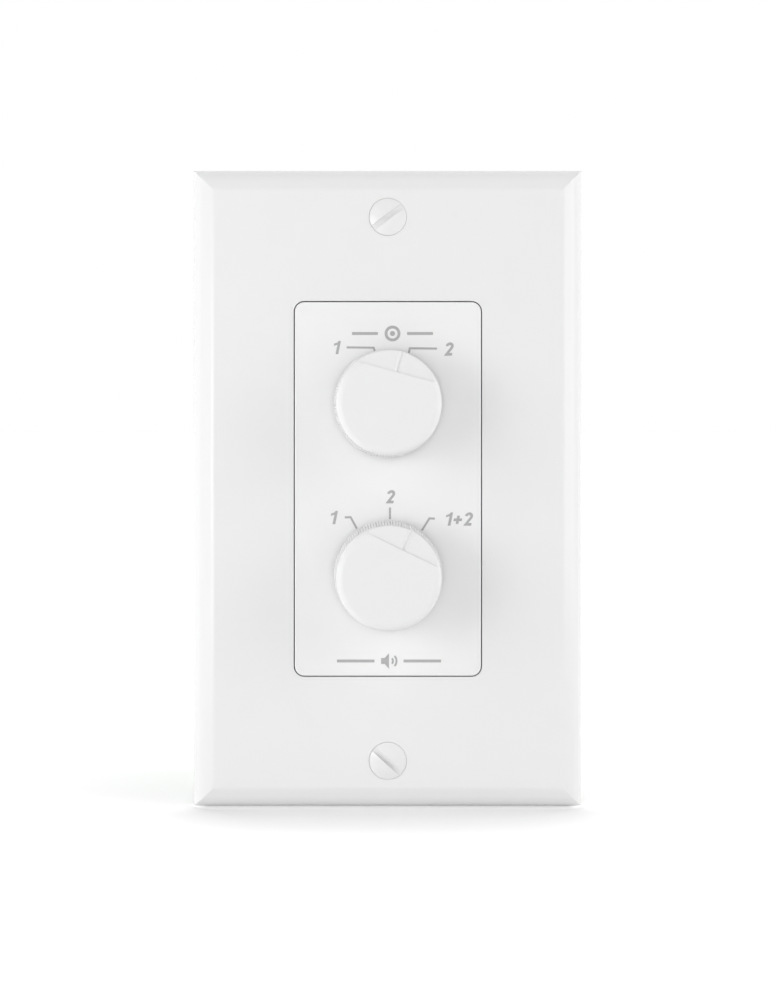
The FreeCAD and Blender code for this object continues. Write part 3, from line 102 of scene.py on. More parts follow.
# Soft patches of sky: (side, lift, level), in degrees from straight ahead of the plate. The
# strongest are to the left, and higher up they are fainter.
LEFT_SKY = 2.0
RIGHT_SKY = 1.75
FRONT_SKY = 1.75
MIDDLE_SKY = 1.15
HIGH_SKY = 0.7
SKY = [(-90, 2, LEFT_SKY), (-60, 2, LEFT_SKY), (90, 28, RIGHT_SKY), (0, 2, FRONT_SKY),
       (-60, 28, MIDDLE_SKY), (60, 28, MIDDLE_SKY), (-75, 56, HIGH_SKY), (75, 56, HIGH_SKY)]
SKY_FOCUS = 14.0

# The even sky behind rises from nothing beside the part to BACK_SKY, BACK_FULL of the way back.
BACK_SKY = 0.9
BACK_FULL = 0.6

# Two softboxes, whose light makes a white surface that faces it SOFTBOX_LEVEL of full white:
# (name, side, lift, distance, (width, height)), with lengths in metres.
SOFTBOX_LEVEL = 0.2
SOFTBOXES = [("left_softbox", -47, -2, 0.3, (0.12, 0.16)),
             ("right_softbox", 70, 10, 0.5, (0.25, 0.35))]


def direction(side, lift):
    """The way to a place seen at two angles, in degrees, from the plate's middle."""
    turn, rise = math.radians(side), math.radians(lift)
    return math.sin(turn) * math.cos(rise), -math.cos(turn) * math.cos(rise), math.sin(rise)


def make_camera():
    """A camera square to the plate. Its shift puts the plate where the frame has it."""
    data = bpy.data.cameras.new("camera")
    camera = bpy.data.objects.new("camera", data)
    bpy.context.scene.collection.objects.link(camera)
    camera.location = (CAMERA_X, PLATE_FRONT - CAMERA_DISTANCE, CAMERA_Z)
    camera.rotation_euler = (math.pi / 2, 0, 0)
    view_height = IMAGE_HEIGHT / PIXELS_PER_MM * MM
    data.sensor_width = SENSOR
    data.lens = SENSOR * CAMERA_DISTANCE / view_height
    data.shift_x = (IMAGE_WIDTH / 2 - AHEAD_PX[0]) / IMAGE_HEIGHT
    data.shift_y = (AHEAD_PX[1] - IMAGE_HEIGHT / 2) / IMAGE_HEIGHT
    data.clip_start, data.clip_end = CAMERA_CLIP
    bpy.context.scene.camera = camera


def insert_point(pixel):
    """The place on the insert's front that a pixel of the frame shows, as (x, z)."""
    near = CAMERA_DISTANCE - (PLATE_FRONT - INSERT_FRONT)
    scale = near / CAMERA_DISTANCE / PIXELS_PER_MM * MM
    return CAMERA_X + (pixel[0] - AHEAD_PX[0]) * scale, CAMERA_Z - (pixel[1] - AHEAD_PX[1]) * scale


# ---- nodes ----

BEVEL_SAMPLES = 6
PLASTIC_IOR = 1.5
METAL_EDGE = 0.08 * MM
ENAMEL_DEPTH = 1.6 * MM


class Nodes:
    """A node tree with short calls; an input is a number, a vector or another node's socket."""

    def __init__(self, owner, output):
        owner.use_nodes = True
        self.tree = owner.node_tree
        self.tree.nodes.clear()
        self.output = self.node(output)

    def node(self, kind, inputs=None, **properties):
        """A new shader node, its inputs set or linked."""
        item = self.tree.nodes.new("ShaderNode" + kind)
        for key, value in properties.items():
            setattr(item, key, value)
        for key, value in (inputs or {}).items():
            self.put(item.inputs[key], value)
        return item

    def put(self, socket, value):
        if isinstance(value, bpy.types.NodeSocket):
            self.tree.links.new(value, socket)
        else:
            socket.default_value = value

    def math(self, operation, first, second=0.0):
        return self.node("Math", {0: first, 1: second}, operation=operation).outputs[0]

    def dot(self, first, second):
        item = self.node("VectorMath", {0: first, 1: second}, operation="DOT_PRODUCT")
        return item.outputs["Value"]

    def end_with(self, shader):
        """Links a shader node to the output."""
        self.put(self.output.inputs["Surface"], shader.outputs[0])

    def seen_directly(self):
        """1 for the camera and for what metal and glass show, 0 for light."""
        path = self.node("LightPath").outputs
        shown = self.math("MAXIMUM", path["Is Glossy Ray"], path["Is Transmission Ray"])
        return self.math("MAXIMUM", path["Is Camera Ray"], shown)


class Shader(Nodes):
    """A material's nodes."""

    def __init__(self, name):
        self.material = bpy.data.materials.new(name)
        super().__init__(self.material, "OutputMaterial")

    def principled(self, body, gloss, normal, others=None):
        """Ends with a surface of a colour, roughness and normals; others sets more inputs."""
        inputs = {"Base Color": body, "Roughness": gloss, "Normal": normal}
        inputs.update(others or {})
        self.end_with(self.node("BsdfPrincipled", inputs))

    def place(self):
        """The point in the object's own metres."""
        return self.node("TexCoord").outputs["Object"]

    def noise(self, size, detail=3.0, roughness=0.5, stretch=(1, 1, 1)):
        """Noise whose blobs are about size metres across; stretch draws them out."""
        scale = [1 / size / factor for factor in stretch]
        vector = self.node("Mapping", {"Vector": self.place(), "Scale": scale}).outputs["Vector"]
        item = self.node("TexNoise", {"Vector": vector, "Scale": 1.0, "Detail": detail,
                                      "Roughness": roughness})
        return item.outputs["Fac"]

    def spread(self, value, low, high, start=0.3, end=0.7):
        """Maps a value between start and end to the range low to high."""
        item = self.node("MapRange", {"Value": value, "From Min": start, "From Max": end,
                                      "To Min": low, "To Max": high})
        return item.outputs["Result"]

    def blend(self, factor, first, second):
        """A colour between two, the first where factor is 0."""
        item = self.node("Mix", data_type="RGBA")
        self.put(item.inputs["Factor"], factor)
        self.put(item.inputs["A"], first)
        self.put(item.inputs["B"], second)
        return item.outputs["Result"]

    def part_of(self, vector, name):
        """The X, Y or Z of a vector."""
        return self.node("SeparateXYZ", {"Vector": vector}).outputs[name]

    def true_normal(self):
        return self.node("NewGeometry").outputs["Normal"]

    def edges(self, radius, low=0.02, high=0.25):
        """1 along sharp edges, 0 on faces and in the open."""
        turn = self.dot(self.soft_edges(radius), self.true_normal())
        return self.spread(self.math("SUBTRACT", 1.0, turn), 0.0, 1.0, low, high)

    def bump(self, height, distance, normal=None):
        """Normals over a relief of a height between 0 and 1 times distance, on those given."""
        inputs = {"Height": height, "Distance": distance, "Strength": 1.0}
        if normal is not None:
            inputs["Normal"] = normal
        return self.node("Bump", inputs).outputs["Normal"]

    def soft_edges(self, radius):
        """Normals that round off the edges of a crisp solid."""
        return self.node("Bevel", {"Radius": radius}, samples=BEVEL_SAMPLES).outputs["Normal"]


def colour(value):
    """A colour with its alpha; one number is a grey."""
    if isinstance(value, (int, float)):
        return (value, value, value, 1)
    return (*value, 1)


def scaled(base, factor):
    """A colour times a factor, or times one factor for each channel, at most 1."""
    factors = factor if isinstance(factor, tuple) else (factor,) * 3
    return colour(tuple(min(1.0, channel * share) for channel, share in zip(base, factors)))


def plastic(name, base, roughness=0.35, peel=0.6 * MM, peel_height=0.004 * MM, grain=0.0,
            edge=0.12 * MM, tint=0.02, pale=0.04, polish=0.05):
    """Moulded plastic: slow colour drift, uneven gloss, orange peel or a fine grain, rubbed edges.

    peel and peel_height are the size and height of the orange peel, grain the height of the grain,
    tint the share that the colour drifts down, pale what a rubbed edge gains and polish what its
    roughness loses.
    """
    drift_size, scuff_size, gloss_size, grain_size = 9 * MM, 0.7 * MM, 2.5 * MM, 0.12 * MM
    scuffed, most_rubbed = (0.45, 0.65), 0.5
    smoother, rougher = 0.04, 0.05
    shader = Shader(name)
    base = colour(base)
    drift = shader.spread(shader.noise(drift_size, detail=4.0), 0.0, 1.0)
    body = shader.blend(drift, base, scaled(base, 1 - tint))
    worn = shader.edges(edge)
    scuffs = shader.noise(scuff_size, detail=6.0, roughness=0.7)
    rub = shader.math("MULTIPLY", worn, shader.spread(scuffs, 0.0, most_rubbed, *scuffed))
    rubbed = colour(tuple(min(1.0, channel + pale) for channel in base[:3]))
    body = shader.blend(rub, body, rubbed)
    gloss = shader.noise(gloss_size, detail=5.0)
    gloss = shader.spread(gloss, roughness - smoother, roughness + rougher)
    gloss = shader.math("SUBTRACT", gloss, shader.math("MULTIPLY", rub, polish))
    normal = shader.soft_edges(edge)
    normal = shader.bump(shader.noise(peel, detail=2.0), peel_height, normal)
    if grain > 0:
        normal = shader.bump(shader.noise(grain_size, detail=3.0), grain, normal)
    shader.principled(body, gloss, normal, {"IOR": PLASTIC_IOR})
    return shader.material


def metal(name, base, roughness=0.3, streak=(1, 1, 14), dull=(0.6, 0.6, 0.6)):
    """Plated or bare metal: drawn streaks, stains in the plating, brighter rubbed edges.

    streak draws the streaks out along X, Y and Z, and dull is what a stain leaves of the colour.
    """
    stain_size, stained, most_stained = 4 * MM, (0.4, 0.75), 0.25
    streak_size, streak_height, brighter = 0.25 * MM, 0.0015 * MM, 1.15
    smoother, rougher = 0.08, 0.1
    shader = Shader(name)
    base = colour(base)
    patches = shader.noise(stain_size, detail=6.0, roughness=0.6)
    patches = shader.spread(patches, 0.0, most_stained, *stained)
    body = shader.blend(patches, base, scaled(base, dull))
    body = shader.blend(shader.edges(METAL_EDGE), body, scaled(base, brighter))
    lines = shader.noise(streak_size, detail=3.0, stretch=streak)
    gloss = shader.spread(lines, roughness - smoother, roughness + rougher)
    normal = shader.bump(lines, streak_height, shader.soft_edges(METAL_EDGE))
    shader.principled(body, gloss, normal, {"Metallic": 1.0})
    return shader.material


def threaded_metal(name, base, roughness, pitch, depth, rear, front):
    """Plated metal, with a screw thread round the Y axis between two depths as a relief."""
    stain_size, stained, most_stained, dull = 3 * MM, (0.4, 0.75), 0.35, 0.7
    gloss_size, smoother, rougher = 0.3 * MM, 0.06, 0.1
    shader = Shader(name)
    base = colour(base)
    patches = shader.spread(shader.noise(stain_size, detail=6.0), 0.0, most_stained, *stained)
    body = shader.blend(patches, base, scaled(base, dull))
    gloss = shader.noise(gloss_size, detail=3.0)
    gloss = shader.spread(gloss, roughness - smoother, roughness + rougher)
    y = shader.part_of(shader.place(), "Y")
    tooth = shader.math("DIVIDE", shader.math("PINGPONG", y, pitch / 2), pitch / 2)
    inside = shader.math("MULTIPLY", shader.math("GREATER_THAN", y, front),
                         shader.math("LESS_THAN", y, rear))
    relief = shader.math("MULTIPLY", tooth, inside)
    normal = shader.bump(relief, depth, shader.soft_edges(METAL_EDGE))
    shader.principled(body, gloss, normal, {"Metallic": 1.0})
    return shader.material


def enamelled_screw(name):
    """White enamel on the head, chipped along its edges, and plated steel on the thread."""
    enamel_light, enamel_dark, steel = colour(0.86), colour(0.84), colour((0.42, 0.42, 0.43))
    chip_edge, chip_turn, soft_edge = 0.1 * MM, (0.05, 0.3), 0.05 * MM
    chip_size, chipped, most_chipped = 0.35 * MM, (0.55, 0.62), 0.3
    drift_size, gloss_size, roughness = 1.5 * MM, 0.6 * MM, (0.19, 0.26)
    ripple_size, ripple_height, steel_metallic = 0.5 * MM, 0.012 * MM, 0.9
    shader = Shader(name)
    chips = shader.spread(shader.noise(chip_size, detail=5.0), 0.0, most_chipped, *chipped)
    chips = shader.math("MULTIPLY", shader.edges(chip_edge, *chip_turn), chips)
    depth = shader.part_of(shader.place(), "Y")
    shank = shader.math("GREATER_THAN", depth, PLATE_FRONT + ENAMEL_DEPTH)
    bare = shader.math("MAXIMUM", chips, shank)
    drift = shader.spread(shader.noise(drift_size, detail=4.0), 0.0, 1.0)
    body = shader.blend(bare, shader.blend(drift, enamel_light, enamel_dark), steel)
    gloss = shader.spread(shader.noise(gloss_size, detail=4.0), *roughness)
    ripple = shader.noise(ripple_size, detail=3.0)
    ripple = shader.math("MULTIPLY", ripple, shader.math("SUBTRACT", 1.0, shank))
    normal = shader.bump(ripple, ripple_height, shader.soft_edges(soft_edge))
    metallic = shader.math("MULTIPLY", bare, steel_metallic)
    shader.principled(body, gloss, normal, {"Metallic": metallic})
    return shader.material


def circuit_mask(name):
    """Green solder mask over glass weave, with the laminate's bare edge."""
    mask_dark, mask_light = colour((0.012, 0.13, 0.045)), colour((0.016, 0.17, 0.06))
    laminate, rim_slope = colour((0.42, 0.36, 0.16)), 0.5
    weave_size, weave_height, edge = 3.2 * MM, 0.006 * MM, 0.06 * MM
    drift_size, gloss_size, roughness = 6 * MM, 1.2 * MM, (0.29, 0.38)
    shader = Shader(name)
    bands = [shader.node("TexWave", {"Vector": shader.place(), "Scale": 1 / weave_size},
                         wave_type="BANDS", bands_direction=way).outputs["Fac"] for way in "XZ"]
    weave = shader.math("MULTIPLY", *bands)
    drift = shader.spread(shader.noise(drift_size, detail=4.0), 0.0, 1.0)
    facing = shader.math("ABSOLUTE", shader.part_of(shader.true_normal(), "Y"))
    rim = shader.math("LESS_THAN", facing, rim_slope)
    body = shader.blend(rim, shader.blend(drift, mask_dark, mask_light), laminate)
    gloss = shader.spread(shader.noise(gloss_size, detail=4.0), *roughness)
    normal = shader.bump(weave, weave_height, shader.soft_edges(edge))
    shader.principled(body, gloss, normal)
    return shader.material


def covered_copper(name):
    """A copper trace under the solder mask: a lighter green, as uneven as the copper below it."""
    mask_dark, mask_light = colour((0.035, 0.27, 0.085)), colour((0.05, 0.33, 0.1))
    drift_size, gloss_size, roughness = 2.2 * MM, 0.9 * MM, (0.28, 0.36)
    ripple_size, ripple_height, edge = 0.35 * MM, 0.004 * MM, 0.05 * MM
    shader = Shader(name)
    drift = shader.spread(shader.noise(drift_size, detail=5.0), 0.0, 1.0)
    body = shader.blend(drift, mask_dark, mask_light)
    gloss = shader.spread(shader.noise(gloss_size, detail=4.0), *roughness)
    ripple = shader.noise(ripple_size, detail=3.0)
    normal = shader.bump(ripple, ripple_height, shader.soft_edges(edge))
    shader.principled(body, gloss, normal)
    return shader.material


def printing_ink(name):
    """Grey pad-printed ink: slightly uneven cover over the fine grain of the panel."""
    full, thin, thinned, roughness = colour(0.41), colour(0.47), (0.35, 0.7), (0.42, 0.58)
    cover_size, cover_height = 0.25 * MM, 0.003 * MM
    shader = Shader(name)
    cover = shader.noise(cover_size, detail=5.0, roughness=0.7)
    body = shader.blend(shader.spread(cover, 0.0, 1.0, *thinned), full, thin)
    gloss = shader.spread(cover, *roughness)
    shader.principled(body, gloss, shader.bump(cover, cover_height))
    return shader.material


def solder(name):
    """Tinned solder: bright, with duller patches and a slow ripple."""
    bright, dull = colour((0.72, 0.72, 0.73)), colour(0.5)
    stain_size, gloss_size, roughness = 0.6 * MM, 0.4 * MM, (0.16, 0.34)
    ripple_size, ripple_height = 0.5 * MM, 0.02 * MM
    shader = Shader(name)
    stains = shader.spread(shader.noise(stain_size, detail=4.0), 0.0, 1.0)
    body = shader.blend(stains, bright, dull)
    gloss = shader.spread(shader.noise(gloss_size, detail=4.0), *roughness)
    normal = shader.bump(shader.noise(ripple_size, detail=2.0), ripple_height)
    shader.principled(body, gloss, normal, {"Metallic": 1.0})
    return shader.material


MATERIALS = {
    "plate_white": plastic("plate_plastic", 0.86, roughness=0.2, peel=1.1 * MM,
                           peel_height=0.003 * MM, edge=0.15 * MM, tint=0.006, pale=0.006),
    "insert_white": plastic("insert_plastic", 0.895, roughness=0.42, peel=0.7 * MM,
                            grain=0.002 * MM, edge=0.1 * MM, tint=0.006, pale=0.006),
    "knob_white": plastic("knob_plastic", 0.85, roughness=0.33, peel=0.8 * MM,
                          peel_height=0.003 * MM, tint=0.006, pale=0.006, polish=0.01),
    "screw_white": enamelled_screw("screw_enamel"),
    "strap_steel": metal("strap_zinc", (0.6, 0.61, 0.62), roughness=0.37, streak=(1, 1, 30)),
    "nickel": threaded_metal("nickel_plate", (0.66, 0.64, 0.6), roughness=0.24, pitch=0.75 * MM,
                             depth=0.3 * MM, rear=0.0, front=-7.2 * MM),
    "shaft_metal": metal("shaft_turned", (0.74, 0.74, 0.75), roughness=0.28, streak=(8, 0.3, 8)),
    "spring_steel": metal("spring_steel", (0.5, 0.5, 0.52)),
    "switch_black": plastic("switch_moulding", 0.028, roughness=0.4, grain=0.003 * MM, tint=0.25),
    "rotor_natural": plastic("rotor_acetal", (0.76, 0.74, 0.68), roughness=0.36, tint=0.05),
    "contact_brass": metal("contact_brass", (0.8, 0.62, 0.34), roughness=0.28,
                           dull=(0.6, 0.5, 0.4)),
    "board_green": circuit_mask("solder_mask"),
    "post_brass": metal("post_brass", (0.78, 0.68, 0.44), roughness=0.26, streak=(1, 20, 1)),
    "screw_zinc": metal("screw_zinc", (0.66, 0.67, 0.66)),
    "connector_green": plastic("connector_moulding", (0.035, 0.3, 0.09), roughness=0.38,
                               grain=0.003 * MM, tint=0.15),
    "pin_tin": metal("pin_tin", (0.74, 0.74, 0.72)),
    "clamp_tin": metal("clamp_tin", (0.68, 0.68, 0.66), roughness=0.32),
}
INK = printing_ink("marking_ink")
SOLDER = solder("solder")
TRACE = covered_copper("mask_over_copper")


def dress_nodes():
    """Gives every carried-over node the finish of its record slot."""
    slot_of = {part["node"]: part["material_slot"] for part in frame["record"]["subparts"]}
    for name, node in frame["nodes"].items():
        node.data.materials.clear()
        node.data.materials.append(MATERIALS[slot_of[name]])


# ---- meshes ----

def new_object(name, mesh, material):
    """An object in the scene from a finished mesh."""
    item = bpy.data.objects.new(name, mesh)
    bpy.context.scene.collection.objects.link(item)
    item.data.materials.append(material)
    return item


MITRE_LIMIT = 0.35


def outline_of(points, width):
    """The closed outline of a bent line of one width, mitred at its corners."""
    points = [Vector(point) for point in points]
    ways = [(after - before).normalized() for before, after in zip(points, points[1:])]
    left, right = [], []
    for index, point in enumerate(points):
        normals = [Vector((-way.y, way.x)) for way in ways[max(index - 1, 0):index + 1]]
        mitre = sum(normals, Vector((0, 0))).normalized()
        reach = width / 2 / max(mitre.dot(normals[0]), MITRE_LIMIT)
        left.append(point + mitre * reach)
        right.append(point - mitre * reach)
    return left + right[::-1]


def prism(mesh, outline, back, front):
    """Adds a solid with a closed outline of (x, z) points, between two depths, to a bmesh."""
    low = [mesh.verts.new((point[0], back, point[1])) for point in outline]
    high = [mesh.verts.new((point[0], front, point[1])) for point in outline]
    mesh.faces.new(low)
    mesh.faces.new(high[::-1])
    for index in range(len(outline)):
        mesh.faces.new((low[index], low[index - 1], high[index - 1], high[index]))


def lathe(mesh, x, z, base, side, profile, segments, hollow=False):
    """Turns (radius, height) points about an axis along Y and adds them to a bmesh.

    A hollow one is a ring: its profile closes on itself. Any other is capped at both ends.
    """
    angles = [2 * math.pi * index / segments for index in range(segments)]
    rings = []
    for radius, height in profile:
        y = base + side * height
        rings.append([mesh.verts.new((x + radius * math.cos(angle), y,
                                      z + radius * math.sin(angle))) for angle in angles])
    join_rings(mesh, rings, hollow)


def join_rings(mesh, rings, hollow=False):
    """Walls between neighbouring rings of a bmesh, and a cap at each end unless it is hollow."""
    pairs = list(zip(rings, rings[1:]))
    if hollow:
        pairs.append((rings[-1], rings[0]))
    for low, high in pairs:
        for index in range(len(low)):
            mesh.faces.new((low[index - 1], low[index], high[index], high[index - 1]))
    if not hollow:
        mesh.faces.new(rings[0])
        mesh.faces.new(rings[-1][::-1])


def object_from(name, mesh, material, smooth=False):
    """An object from a bmesh of closed solids."""
    bmesh.ops.recalc_face_normals(mesh, faces=mesh.faces)
    for face in mesh.faces:
        face.smooth = smooth
    data = bpy.data.meshes.new(name)
    mesh.to_mesh(data)
    mesh.free()
    return new_object(name, data, material)


# ---- printed marks on the insert ----

INK_THICKNESS = 0.02 * MM
STROKE = 0.36 * MM
RULE_STROKE = 0.5 * MM

# Numbers, their shapes given as (across, up) for a height of 1.
DIGIT_STROKE = 0.48 * MM
DIGIT_HEIGHT = 2.36 * MM
DIGIT_SLANT = 0.2
DIGIT_GAP = 0.16
HALF_STROKE = DIGIT_STROKE / DIGIT_HEIGHT / 2
ONE_STEM = 0.36
ONE_FLAG = [(0.3, 1.0), (0.21, 0.87), (0.0, 0.79), (0.0, 0.63), (ONE_STEM - HALF_STROKE, 0.71)]
TWO_WIDTH = 0.62
TWO_BOW = (172, -28)
PLUS_REACH = 0.31
PLUS_LEVEL = 0.44

# Middle of each number, in pixels of the frame.
NUMBERS = [("source_first", "1", (336.5, 347.5)), ("source_second", "2", (449.0, 349.0)),
           ("speaker_first", "1", (333.5, 517.5)), ("speaker_second", "2", (390.5, 496.7)),
           ("speaker_both", "1+2", (459.0, 519.0))]

# Leader lines from the numbers to the knobs, in pixels of the frame.
LEADERS = [
    [(346.7, 347.4), (373.6, 347.7), (374.9, 351.4)],
    [(437.0, 348.6), (409.8, 348.3), (408.8, 353.0)],
    [(344.8, 517.4), (350.6, 517.2), (356.9, 528.7)],
    [(390.0, 507.5), (390.0, 519.2)],
    [(434.8, 518.6), (429.4, 518.4), (421.9, 530.4)],
]

# Two plain signs stand where a caption can go: (middle in pixels of the frame, width of the row).
SOURCE_SIGN = ((392.5, 333.5), 14.4 * MM)
SPEAKER_SIGN = ((389.0, 661.0), 18.5 * MM)
SIGN_HEIGHT = 2.8 * MM
SIGN_AIR = 1.2 * MM
RING_SEGMENTS = 64
HUB_RADIUS = 0.45 * MM
HUB_SIDES = 24

# The loudspeaker's upper half and the reach of its waves, for a half height of 1.
HORN = [(-1.0, 0.38), (-0.55, 0.38), (0.0, 1.0)]
WAVE_REACHES = (0.5, 0.95)
WAVE_SPREAD = 42


def print_marks(name, outlines, rings=()):
    """Ink on the insert: closed outlines, and rings given as (x, z, inner radius, outer radius)."""
    mesh = bmesh.new()
    back, front = INSERT_FRONT + INK_THICKNESS, INSERT_FRONT - INK_THICKNESS
    for outline in outlines:
        prism(mesh, outline, back, front)
    for x, z, inner, outer in rings:
        height = back - front
        profile = [(inner, 0.0), (outer, 0.0), (outer, height), (inner, height)]
        lathe(mesh, x, z, back, -1, profile, RING_SEGMENTS, hollow=True)
    marks = object_from(name, mesh, INK)
    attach(marks, "fixed_frame")


def print_leaders():
    lines = [[insert_point(pixel) for pixel in line] for line in LEADERS]
    print_marks("leader_lines", [outline_of(line, STROKE) for line in lines])


def arc(x, z, radius, start, end, steps=16):
    """Points along an arc, its angles in degrees anticlockwise from the right."""
    angles = [math.radians(start + (end - start) * index / steps) for index in range(steps + 1)]
    return [(x + radius * math.cos(angle), z + radius * math.sin(angle)) for angle in angles]


def rules_beside(x, z, width):
    """The two rules that flank a sign."""
    inner, outer = SIGN_HEIGHT / 2 + SIGN_AIR, width / 2
    return [outline_of([(x + side * inner, z), (x + side * outer, z)], RULE_STROKE)
            for side in (-1, 1)]


def print_source_sign():
    """A disc with its hub, between two rules."""
    pixel, width = SOURCE_SIGN
    x, z = insert_point(pixel)
    radius = SIGN_HEIGHT / 2
    hub = arc(x, z, HUB_RADIUS, 0, 360 - 360 / HUB_SIDES, HUB_SIDES - 1)
    disc = (x, z, radius - RULE_STROKE, radius)
    print_marks("source_sign", [hub] + rules_beside(x, z, width), [disc])


def print_speaker_sign():
    """A loudspeaker seen from the side, with two waves, between two rules."""
    pixel, width = SPEAKER_SIGN
    x, z = insert_point(pixel)
    half = SIGN_HEIGHT / 2
    horn = [(x + across * half, z + up * half) for across, up in HORN]
    horn += [(x + across * half, z - up * half) for across, up in reversed(HORN)]
    waves = [outline_of(arc(x, z, half * reach, -WAVE_SPREAD, WAVE_SPREAD), STROKE)
             for reach in WAVE_REACHES]
    print_marks("speaker_sign", [horn] + waves + rules_beside(x, z, width))


def sign_outline(sign):
    """The outline of a digit or a plus sign and its width, for a height of 1."""
    edge = HALF_STROKE
    if sign == "1":
        stem = [(ONE_STEM - edge, 0.0), (ONE_STEM + edge, 0.0), (ONE_STEM + edge, 1.0)]
        return stem + ONE_FLAG, ONE_STEM + edge
    if sign == "2":
        middle = TWO_WIDTH / 2
        bow = arc(middle, 1 - middle, middle - edge, *TWO_BOW)
        return outline_of(bow + [(2 * edge, edge), (TWO_WIDTH, edge)], 2 * edge), TWO_WIDTH
    quarter = [(edge, edge), (edge, PLUS_REACH), (-edge, PLUS_REACH)]
    plus = []
    for _ in range(4):
        plus += [(PLUS_REACH + across, PLUS_LEVEL + up) for across, up in quarter]
        quarter = [(-up, across) for across, up in quarter]
    return plus, 2 * PLUS_REACH


def print_number(name, text, pixel):
    """A bold slanted number, or two of them with a plus sign."""
    signs = [sign_outline(sign) for sign in text]
    total = sum(width for _, width in signs) + DIGIT_GAP * (len(signs) - 1)
    middle_x, middle_z = insert_point(pixel)
    left = -total / 2
    outlines = []
    for outline, width in signs:
        spots = [(left + across + DIGIT_SLANT * (up - 0.5), up - 0.5) for across, up in outline]
        outlines.append([(middle_x + across * DIGIT_HEIGHT, middle_z + up * DIGIT_HEIGHT)
                         for across, up in spots])
        left += width + DIGIT_GAP
    print_marks(f"number_{name}", outlines)


# ---- solder and copper on the circuit board ----

PIN_SPREAD = 1.6 * MM
PIN_PROUD = 0.3 * MM
SOLDER_FOOT = 0.85 * MM
SOLDER_TOP = 0.42 * MM
SOLDER_HEIGHT = 0.85 * MM
SOLDER_STEPS = 7
SOLDER_HOLLOW = 2.4
SOLDER_SEGMENTS = 20
PAD_RADIUS = 1.15 * MM
PAD_THICKNESS = 0.035 * MM
TRACE_WIDTH = 0.9 * MM
TRACE_THICKNESS = 0.03 * MM
TRACE_TURN = 27.5 * MM
LEAST_RUN = 0.05 * MM

# How far from the board's middle line each trace runs, from the inmost pin outwards.
LANES = (2.8 * MM, 7.9 * MM, 10.9 * MM, 13.0 * MM)

# A switch pin belongs to the outer ring from this share of its radius, and to a side from this far.
RING_SHARE = 0.9
OFF_MIDDLE = 0.1 * MM


def pins_past(node, depth, side):
    """Middles of a node's pins that reach past a depth, as (x, z); side is 1 for behind it."""
    pins = []
    for vertex in frame["nodes"][node].data.vertices:
        if (vertex.co.y - depth) * side > 0:
            point = Vector((vertex.co.x, vertex.co.z))
            pin = next((pin for pin in pins if (pin[0] - point).length < PIN_SPREAD), None)
            if pin is None:
                pins.append([point])
            else:
                pin.append(point)
    middles = []
    for pin in pins:
        xs = [point.x for point in pin]
        zs = [point.y for point in pin]
        middles.append(((min(xs) + max(xs)) / 2, (min(zs) + max(zs)) / 2))
    return sorted(middles)


def solder_joints(name, pins, base, side):
    """A pad and a hollow cone of solder round each pin."""
    pad = [(PAD_RADIUS, 0.0), (PAD_RADIUS, PAD_THICKNESS)]
    cone = []
    for share in [index / SOLDER_STEPS for index in range(SOLDER_STEPS + 1)]:
        radius = SOLDER_TOP + (SOLDER_FOOT - SOLDER_TOP) * (1 - share) ** SOLDER_HOLLOW
        cone.append((radius, PAD_THICKNESS + SOLDER_HEIGHT * share))
    mesh = bmesh.new()
    for x, z in pins:
        lathe(mesh, x, z, base, side, pad, SOLDER_SEGMENTS)
        lathe(mesh, x, z, base, side, cone, SOLDER_SEGMENTS)
    joints = object_from(name, mesh, SOLDER, smooth=True)
    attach(joints, "fixed_frame")


def trace_route(start, end, lane, turn_z):
    """From a header pin slantwise to its lane, along it, and slantwise to a switch pin."""
    slant = abs(start[0] - lane)
    inwards = abs(lane - end[0])
    down = -1 if start[1] > end[1] else 1
    route = [start, (start[0], turn_z), (lane, turn_z + down * slant),
             (lane, end[1] - down * inwards), end]
    runs = [(Vector(after) - Vector(before)).length for before, after in zip(route, route[1:])]
    return [start] + [point for point, run in zip(route[1:], runs) if run > LEAST_RUN]


def add_traces(switch_pins, header_pins):
    """Copper under the mask: each header pin to a contact of its switch, the outer to the sides."""
    mesh = bmesh.new()
    for end in (1, -1):
        tips = [pin for pin in switch_pins if pin[1] * end > 0]
        dial = sum(z for _, z in tips) / len(tips)
        ring = max(math.hypot(x, z - dial) for x, z in tips) * RING_SHARE
        outer = [(x, z) for x, z in tips if math.hypot(x, z - dial) > ring]
        headers = [pin for pin in header_pins if pin[1] * end > 0]
        for side in (1, -1):
            near = sorted((pin for pin in headers if pin[0] * side > 0),
                          key=lambda pin: abs(pin[0]))
            targets = sorted((pin for pin in outer if pin[0] * side > OFF_MIDDLE),
                             key=lambda pin: -pin[1] * end)
            for pin, target, reach in zip(near, targets, LANES):
                lane = side * min(abs(pin[0]), reach)
                outline = outline_of(trace_route(pin, target, lane, end * TRACE_TURN), TRACE_WIDTH)
                prism(mesh, outline, board_high.y, board_high.y + TRACE_THICKNESS)
    traces = object_from("board_traces", mesh, TRACE)
    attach(traces, "fixed_frame")


def finish_board():
    """Solder on the pins of both switches and of the headers, and the traces between them."""
    switch_pins = []
    for group in ("source", "speaker"):
        pins = pins_past(f"{group}_terminals", board_high.y + PIN_PROUD, 1)
        solder_joints(f"{group}_solder", pins, board_high.y, 1)
        switch_pins += pins
    header_pins = pins_past("header_pins", board_low.y - PIN_PROUD, -1)
    solder_joints("header_solder", header_pins, board_low.y, -1)
    add_traces(switch_pins, header_pins)


# ---- plate screws ----

